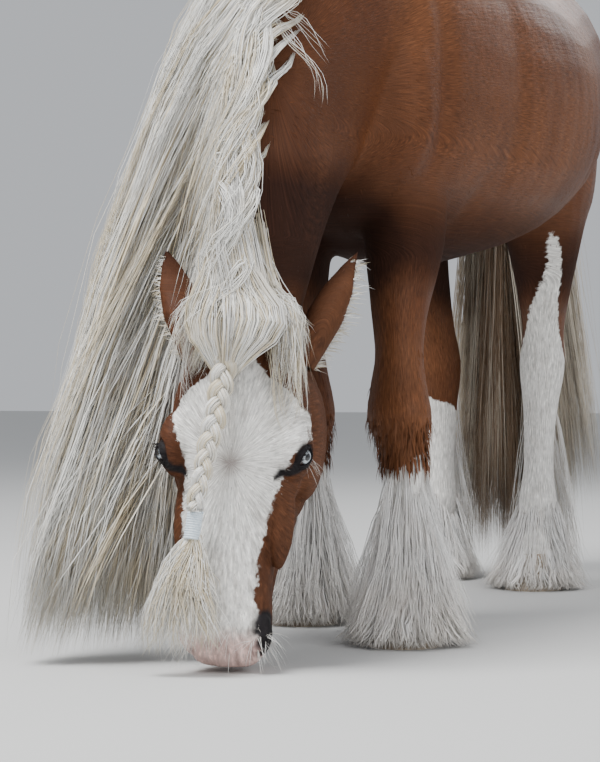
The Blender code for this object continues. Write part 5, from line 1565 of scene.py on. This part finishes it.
def forelock(tree, rng):
    """Hair from the crest drawn over the poll into a soft knot above the plait, and thin locks beside it."""
    guides, facing = [], []
    for k in range(60):
        spread = rng.uniform(-1, 1)
        lift = rng.random()
        start = rng.uniform(0.24, 0.42)
        crown, _ = crest_path([start, start * 0.62], np.array([0.10, 0.22]) * spread - 0.05,
                              np.array([-0.004, 0.010 + 0.012 * lift]))
        bend = 0.010 * math.sin(k * 2.4)
        round_out = 0.036 * lift * (1 - spread**2)
        knot = [(-0.004 + 0.050 * spread + bend, -0.016 - 0.012 * lift, 0.022),
                (0.003 + 0.076 * spread, -0.020 - round_out, -0.022),
                (0.000 + 0.066 * spread, -0.024 - round_out, -0.062),
                (-0.006 + 0.034 * spread, -0.022 - 0.5 * round_out, -0.096),
                (-0.011 + 0.006 * spread, -0.014, -0.135)]
        guides.append([*crown, *moved(knot, PLACE)])
        facing.append(HEAD_TURNED @ unit([0.9 * spread, -1, 0.3]))
    guides = push_clear(np.array(guides), tree, 0.006)
    tress = tresses(guides, 31, rng, (0.008, 0.014, 0.003), 10, (0.001, 0.004, 0.001), np.array(facing),
                    (0.0002, 0.0011, 0.0010, 0.0007), (0.97, 1.0))
    pieces = [strand_piece("forelock", tress, rng, len(guides), rng.uniform(0.3, 0.95, len(guides)))]
    guides, facing = [], []
    for k in range(42):
        side = 1 if k % 5 else -1
        x, far = side * rng.uniform(0.010, 0.040), side * rng.uniform(0.070, 0.112)
        low = -rng.uniform(0.03, 0.17)
        crown, _ = crest_path([rng.uniform(0.24, 0.36)], np.array([0.08 * side - 0.05]), -0.004)
        guides.append([tuple(to_head(crown)[0]), (x * 1.3, 0.000, 0.050), (far * 0.75, 0.010, 0.010),
                       (far * 0.95, 0.000, -0.030), (far * rng.uniform(0.95, 1.1), -0.004, low),
                       (far * rng.uniform(0.85, 1.2), -0.002, low - 0.06)])
        facing.append(HEAD_TURNED @ unit([far * 12, -1, 0.2]))
    guides = on_head_paths(guides, tree, 0.005)
    tress = tresses(guides, 20, rng, (0.008, 0.009, 0.012), 8, (0.001, 0.007, 0.014), np.array(facing),
                    (0.0002, 0.0010, 0.0008, 0.0002), (0.55, 1.0))
    flyaways(tress, rng, 0.15, 0.03)
    tone = rng.uniform(0.3, 1.0, len(guides))
    return pieces + [strand_piece("forelock_sides", tress, rng, len(guides), tone)]


def braid(tree, rng):
    """The plait: three strands of fine hair that cross in turn, and the loose hair below its tie."""
    line = on_head_paths([[(x, -0.03, z) for x, z in BRAID_LINE]], tree, 0.014, 0)[0]
    rings = 34
    middle = spline(line, rings)
    share = np.linspace(0, 1, rings)
    guides, facing = [], []
    for strand in range(3):
        swing = share * math.tau * 3.0 + strand * math.tau / 3
        size = 0.0115 * (1 - 0.28 * share)
        local = np.stack([size * 1.20 * np.sin(swing), -size * 0.55 * np.sin(2 * swing), 0 * swing], axis=1)
        guides.append(middle + local @ HEAD_TURNED.T)
        facing.append(HEAD_TURNED @ np.array([0.0, -1.0, 0.0]))
    guides = np.array(guides)
    count, each = 3, 100
    tress = tresses(guides, each, rng, (0.0085, 0.0075, 0.0055), rings, (0, 0.0004, 0.0004), np.array(facing),
                    (0.0013, 0.0014, 0.0013, 0.0010), (0.99, 1.0))
    pieces = [strand_piece("braid_hair", tress, rng, count, np.array([0.45, 0.75, 0.6]))]
    guides, facing = [], []
    for _ in range(16):
        spread = rng.uniform(-1, 1)
        guides.append([(-0.049, -0.016, -0.365), (-0.052 + 0.006 * spread, -0.016, -0.392),
                       (-0.058 + 0.026 * spread, -0.022, -0.440), (-0.064 + 0.052 * spread, -0.030, -0.520),
                       (-0.066 + 0.068 * spread, -0.024, -0.600 + 0.02 * abs(spread))])
        facing.append(HEAD_TURNED @ unit([0.4 * spread - 0.2, -1, 0]))
    guides = on_head_paths(guides, tree, 0.010)
    tress = tresses(guides, 46, rng, (0.004, 0.012, 0.020), 8, (0.0005, 0.006, 0.014), np.array(facing),
                    (0.0009, 0.0011, 0.0009, 0.0002), (0.65, 1.0))
    flyaways(tress, rng, 0.15, 0.03)
    tone = rng.uniform(0.2, 0.9, len(guides))
    return pieces + [strand_piece("braid_end", tress, rng, len(guides), tone)]


def ear_fluff(rng):
    """The pale hair that fills the ears' openings and edges."""
    roots, ways, normals = [], [], []
    for _, side in SIDES:
        frame_of_ear = PLACE @ ear_frame(side)
        for _ in range(520):
            share = rng.uniform(0.02, 0.92) ** 1.1
            edge = 1 if rng.random() < 0.5 else -1
            wide, deep, half = ear_section(share)
            angle = edge * half * rng.uniform(0.80, 0.99)
            spot = Vector(((wide - 0.003) * math.sin(angle), (deep - 0.003) * math.cos(angle),
                           -EAR_ROOT + (EAR_LENGTH + EAR_ROOT) * share))
            roots.append(frame_of_ear @ spot)
            way = Vector((edge * rng.uniform(-0.5, 0.6), -rng.uniform(0.4, 1.1), rng.uniform(0.2, 1.0)))
            ways.append((frame_of_ear.to_3x3() @ way).normalized())
            normals.append(HEAD_TURNED @ np.array([0.2 * side, 1.0, 0.2]))
    roots, ways, normals = np.array(roots), unit(ways), unit(normals)
    lengths = rng.uniform(0.014, 0.040, len(roots))
    paths = curved(roots, normals, ways, lengths, 0.10, 5, 0.15)
    half = rng.uniform(0.0004, 0.0008, len(roots))
    values = {"tone": rng.uniform(0.2, 0.9, len(roots))}
    return bristles("ear_fluff", roots, normals, paths, [1.0, 1.0, 0.8, 0.5, 0.1], half, 0.6, values)


def whiskers(tree, rng):
    """Long pale bristles round the lips, chin and eyes."""
    roots, normals = [], []
    while len(roots) < 150:
        angle = rng.uniform(-2.2, 2.2) if rng.random() < 0.6 else rng.uniform(2.2, 4.1)
        height = rng.uniform(-0.600, -0.520)
        aim = PLACE @ Vector((0.14 * math.sin(angle), 0.08 - 0.12 * math.cos(angle), height))
        place, normal, _, _ = tree.find_nearest(aim, 0.2)
        if place is not None:
            roots.append(np.array(place))
            normals.append(np.array(normal))
    for _, side in SIDES:
        centre, slant, across, facing = eye_axes(side)
        for _ in range(10):
            aim = PLACE @ Vector(centre + slant * rng.uniform(-0.02, 0.02) - across * 0.022 + facing * 0.02)
            place, normal, _, _ = tree.find_nearest(aim, 0.1)
            roots.append(np.array(place))
            normals.append(np.array(normal))
    roots, normals = np.array(roots), unit(normals)
    ways = unit(normals * 0.9 + HEAD_TURNED @ np.array([0.0, -0.2, -0.55]) + rng.normal(0, 0.22, roots.shape))
    lengths = rng.uniform(0.010, 0.050, len(roots))
    paths = curved(roots - normals * 0.001, normals, ways, lengths, 0.05, 6, 0.35)
    paths[:, :, 2] = np.maximum(paths[:, :, 2], HAIR_FLOOR)
    values = {"tone": rng.uniform(0.5, 1.0, len(roots))}
    return bristles("whiskers", roots, normals, paths, [1.0, 0.9, 0.8, 0.6, 0.4, 0.1], 0.00042, 0.9, values)


def lashes(rng):
    """The lashes of the upper lids."""
    roots, ways, normals = [], [], []
    for _, side in SIDES:
        centre, slant, across, facing = eye_axes(side)
        for _ in range(46):
            u = rng.uniform(-0.75, 0.90) * LID_LENGTH
            v = UPPER_LID * (1 - (u / LID_LENGTH) ** 2) ** 0.7 + 0.0012
            w = math.sqrt((EYE_RADIUS + 0.0034) ** 2 - u * u - v * v)
            roots.append(moved(centre + slant * u + across * v + facing * w, PLACE))
            way = facing * 0.9 + across * rng.uniform(-0.1, 0.3) + slant * rng.normal(0, 0.2)
            ways.append(HEAD_TURNED @ unit(way))
            normals.append(HEAD_TURNED @ across)
    roots, ways, normals = np.array(roots), unit(ways), unit(normals)
    lengths = rng.uniform(0.008, 0.015, len(roots))
    paths = curved(roots, normals, ways, lengths, -0.15, 4, 0.1)
    none = np.full(len(roots), -1.0)
    values = {"tone": rng.uniform(0.2, 0.6, len(roots)), "white": none, "pink": none, "low": none * 0,
              "dark": none * -0.02}
    return bristles("lashes", roots, normals, paths, [1.0, 0.9, 0.6, 0.1], 0.00035, 0.8, values)


# Lamps: name, place, what they point at, size and power.
LAMPS = [
    ("key", (-1.6, -2.6, 5.0), (0, -0.2, 0.6), 2.6, 520),
    ("fill", (4.2, -2.8, 2.2), (0, 0, 0.8), 3.5, 120),
    ("rim", (0.8, 4.6, 4.2), (0, 0.2, 0.8), 3.0, 130),
]


def floor_and_light():
    """A plain pale floor and soft studio light."""
    mesh = bpy.data.meshes.new("floor")
    reach = 30.0
    corners = [(-reach, -reach, 0), (reach, -reach, 0), (reach, reach, 0), (-reach, reach, 0)]
    mesh.from_pydata(corners, [], [(0, 1, 2, 3)])
    floor = bpy.data.objects.new("floor", mesh)
    bpy.context.scene.collection.objects.link(floor)
    mesh.materials.append(Nodes("floor").surface(Base_Color=(0.56, 0.56, 0.55, 1), Roughness=0.9))
    world = bpy.data.worlds.new("studio")
    bpy.context.scene.world = world
    world.use_nodes = True
    back = world.node_tree.nodes["Background"]
    back.inputs["Color"].default_value = (0.88, 0.91, 0.96, 1)
    back.inputs["Strength"].default_value = 0.62
    for name, place, target, size, power in LAMPS:
        lamp = bpy.data.lights.new(name, "AREA")
        lamp.size, lamp.energy = size, power
        obj = bpy.data.objects.new(name, lamp)
        obj.location = place
        obj.rotation_euler = (Vector(target) - Vector(place)).to_track_quat("-Z", "Y").to_euler()
        bpy.context.scene.collection.objects.link(obj)


def camera():
    """The photo's camera."""
    data = bpy.data.cameras.new("camera")
    data.lens, data.sensor_width = CAMERA_LENS, 36.0
    obj = bpy.data.objects.new("camera", data)
    obj.location = Vector(CAMERA_PLACE) + SHIFT
    obj.rotation_euler = (math.radians(90), 0, math.radians(CAMERA_YAW))
    bpy.context.scene.collection.objects.link(obj)
    bpy.context.scene.camera = obj


def eyes(material):
    """The two eyeballs, bulging a little at the front, each in its own frame so that its iris faces out."""
    for side_name, side in SIDES:
        centre, slant, _, facing = eye_axes(side)
        points, faces = ball((0, 0, 0), (EYE_RADIUS,) * 3, 48)
        bulge = 1 + 0.05 * smooth(points[:, 2], EYE_RADIUS * 0.6, EYE_RADIUS)
        mesh = mesh_of(f"eyeball_{side_name}", points * bulge[:, None], faces)
        obj = bpy.data.objects.new(f"eyeball_{side_name}", mesh)
        axes = [HEAD_TURNED @ slant, HEAD_TURNED @ np.cross(facing, slant), HEAD_TURNED @ facing]
        place = Matrix([[*(axis[k] for axis in axes), 0] for k in range(3)] + [[0, 0, 0, 1]])
        place.translation = PLACE @ Vector(centre) + SHIFT
        obj.matrix_world = place
        bpy.context.scene.collection.objects.link(obj)
        mesh.materials.append(material)
        mesh.shade_smooth()
        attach(obj, "root")
        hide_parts(f"eye_{side_name}")


def tie(tree):
    """The plait's tie as wraps of elastic."""
    heights = (TIE_TOP, (TIE_TOP + TIE_BOTTOM) / 2, TIE_BOTTOM)
    line = on_head_paths([[(TIE_X + 0.1 * (z - TIE_TOP), -0.016, z) for z in heights]], tree, 0.013, 0)[0]
    steps, sides, wraps = 260, 8, 11
    share = np.linspace(0, 1, steps)
    middle = spline(line, steps)
    angle = share * wraps * math.tau
    radial = np.stack([np.cos(angle), np.sin(angle), 0 * angle], 1) @ HEAD_TURNED.T
    centre = middle + radial * 0.0118
    up = HEAD_TURNED[:, 2]
    rings = []
    for n in range(sides):
        a = math.tau * n / sides
        rings.append(centre + radial * 0.0017 * math.cos(a) + up * 0.0022 * math.sin(a))
    points, faces = ring_tube(np.stack(rings, axis=1))
    core = loft([(*middle[i], 0.0112, 0.0112, 0.0112, 2.0) for i in (0, steps // 2, steps - 1)], 3, 16)
    start = len(points)
    points = np.concatenate([points, core[0]])
    faces = faces + [tuple(start + i for i in f) for f in core[1]]
    return mesh_of("tie_wraps", points, faces)


def build():
    """Builds every piece of the scene."""
    rng = np.random.default_rng(SEED)
    camera()
    floor_and_light()
    mesh = skin_mesh()
    add_fields(mesh, all_fields(arrays(mesh)[0]))
    tree = BVHTree.FromPolygons([v.co for v in mesh.vertices], [tuple(p.vertices) for p in mesh.polygons])
    fur = fur_material()
    mane_hair, tail_hair, feather_hair = (long_hair_material(name, *tones) for name, tones in HAIR.items())
    tufts = short_fur(mesh, rng)
    flesh = ["head", "neck", "torso", "ear_left", "ear_right"]
    flesh += [f"{end}leg_{side}" for end in ("fore", "hind") for side in ("left", "right")]
    piece("skin", mesh, skin_material(), flesh)
    for name, made in tufts + [("knee_fringe", knee_fringe(rng))]:
        piece(name, made, fur)
    for name, made in mane(tree, rng) + crest_locks(tree, rng) + blown_locks(tree, rng):
        piece(name, made, mane_hair)
    for name, made in forelock(tree, rng):
        piece(name, made, mane_hair)
    for made in (ear_fluff(rng), whiskers(tree, rng)):
        piece(made.name, made, mane_hair)
    piece("lashes", lashes(rng), fur)
    for name, made in tail(tree, rng):
        piece(name, made, tail_hair, ["tail"])
    for name, made in feather(rng):
        lower = name.replace("feather_fore", "lower_foreleg").replace("feather_hind", "lower_hindleg")
        piece(name, made, feather_hair, [lower])
    for name, made in braid(tree, rng):
        node = "braid" if name == "braid_hair" else "braid_tassel"
        piece(name, made, mane_hair, [node])
    piece("tie_wraps", tie(tree), band_material(), ["hair_tie"])
    eyes(eye_material())
    horn = horn_material()
    for name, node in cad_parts.items():
        if name.startswith("hoof"):
            node.data.materials.clear()
            node.data.materials.append(horn)


build()
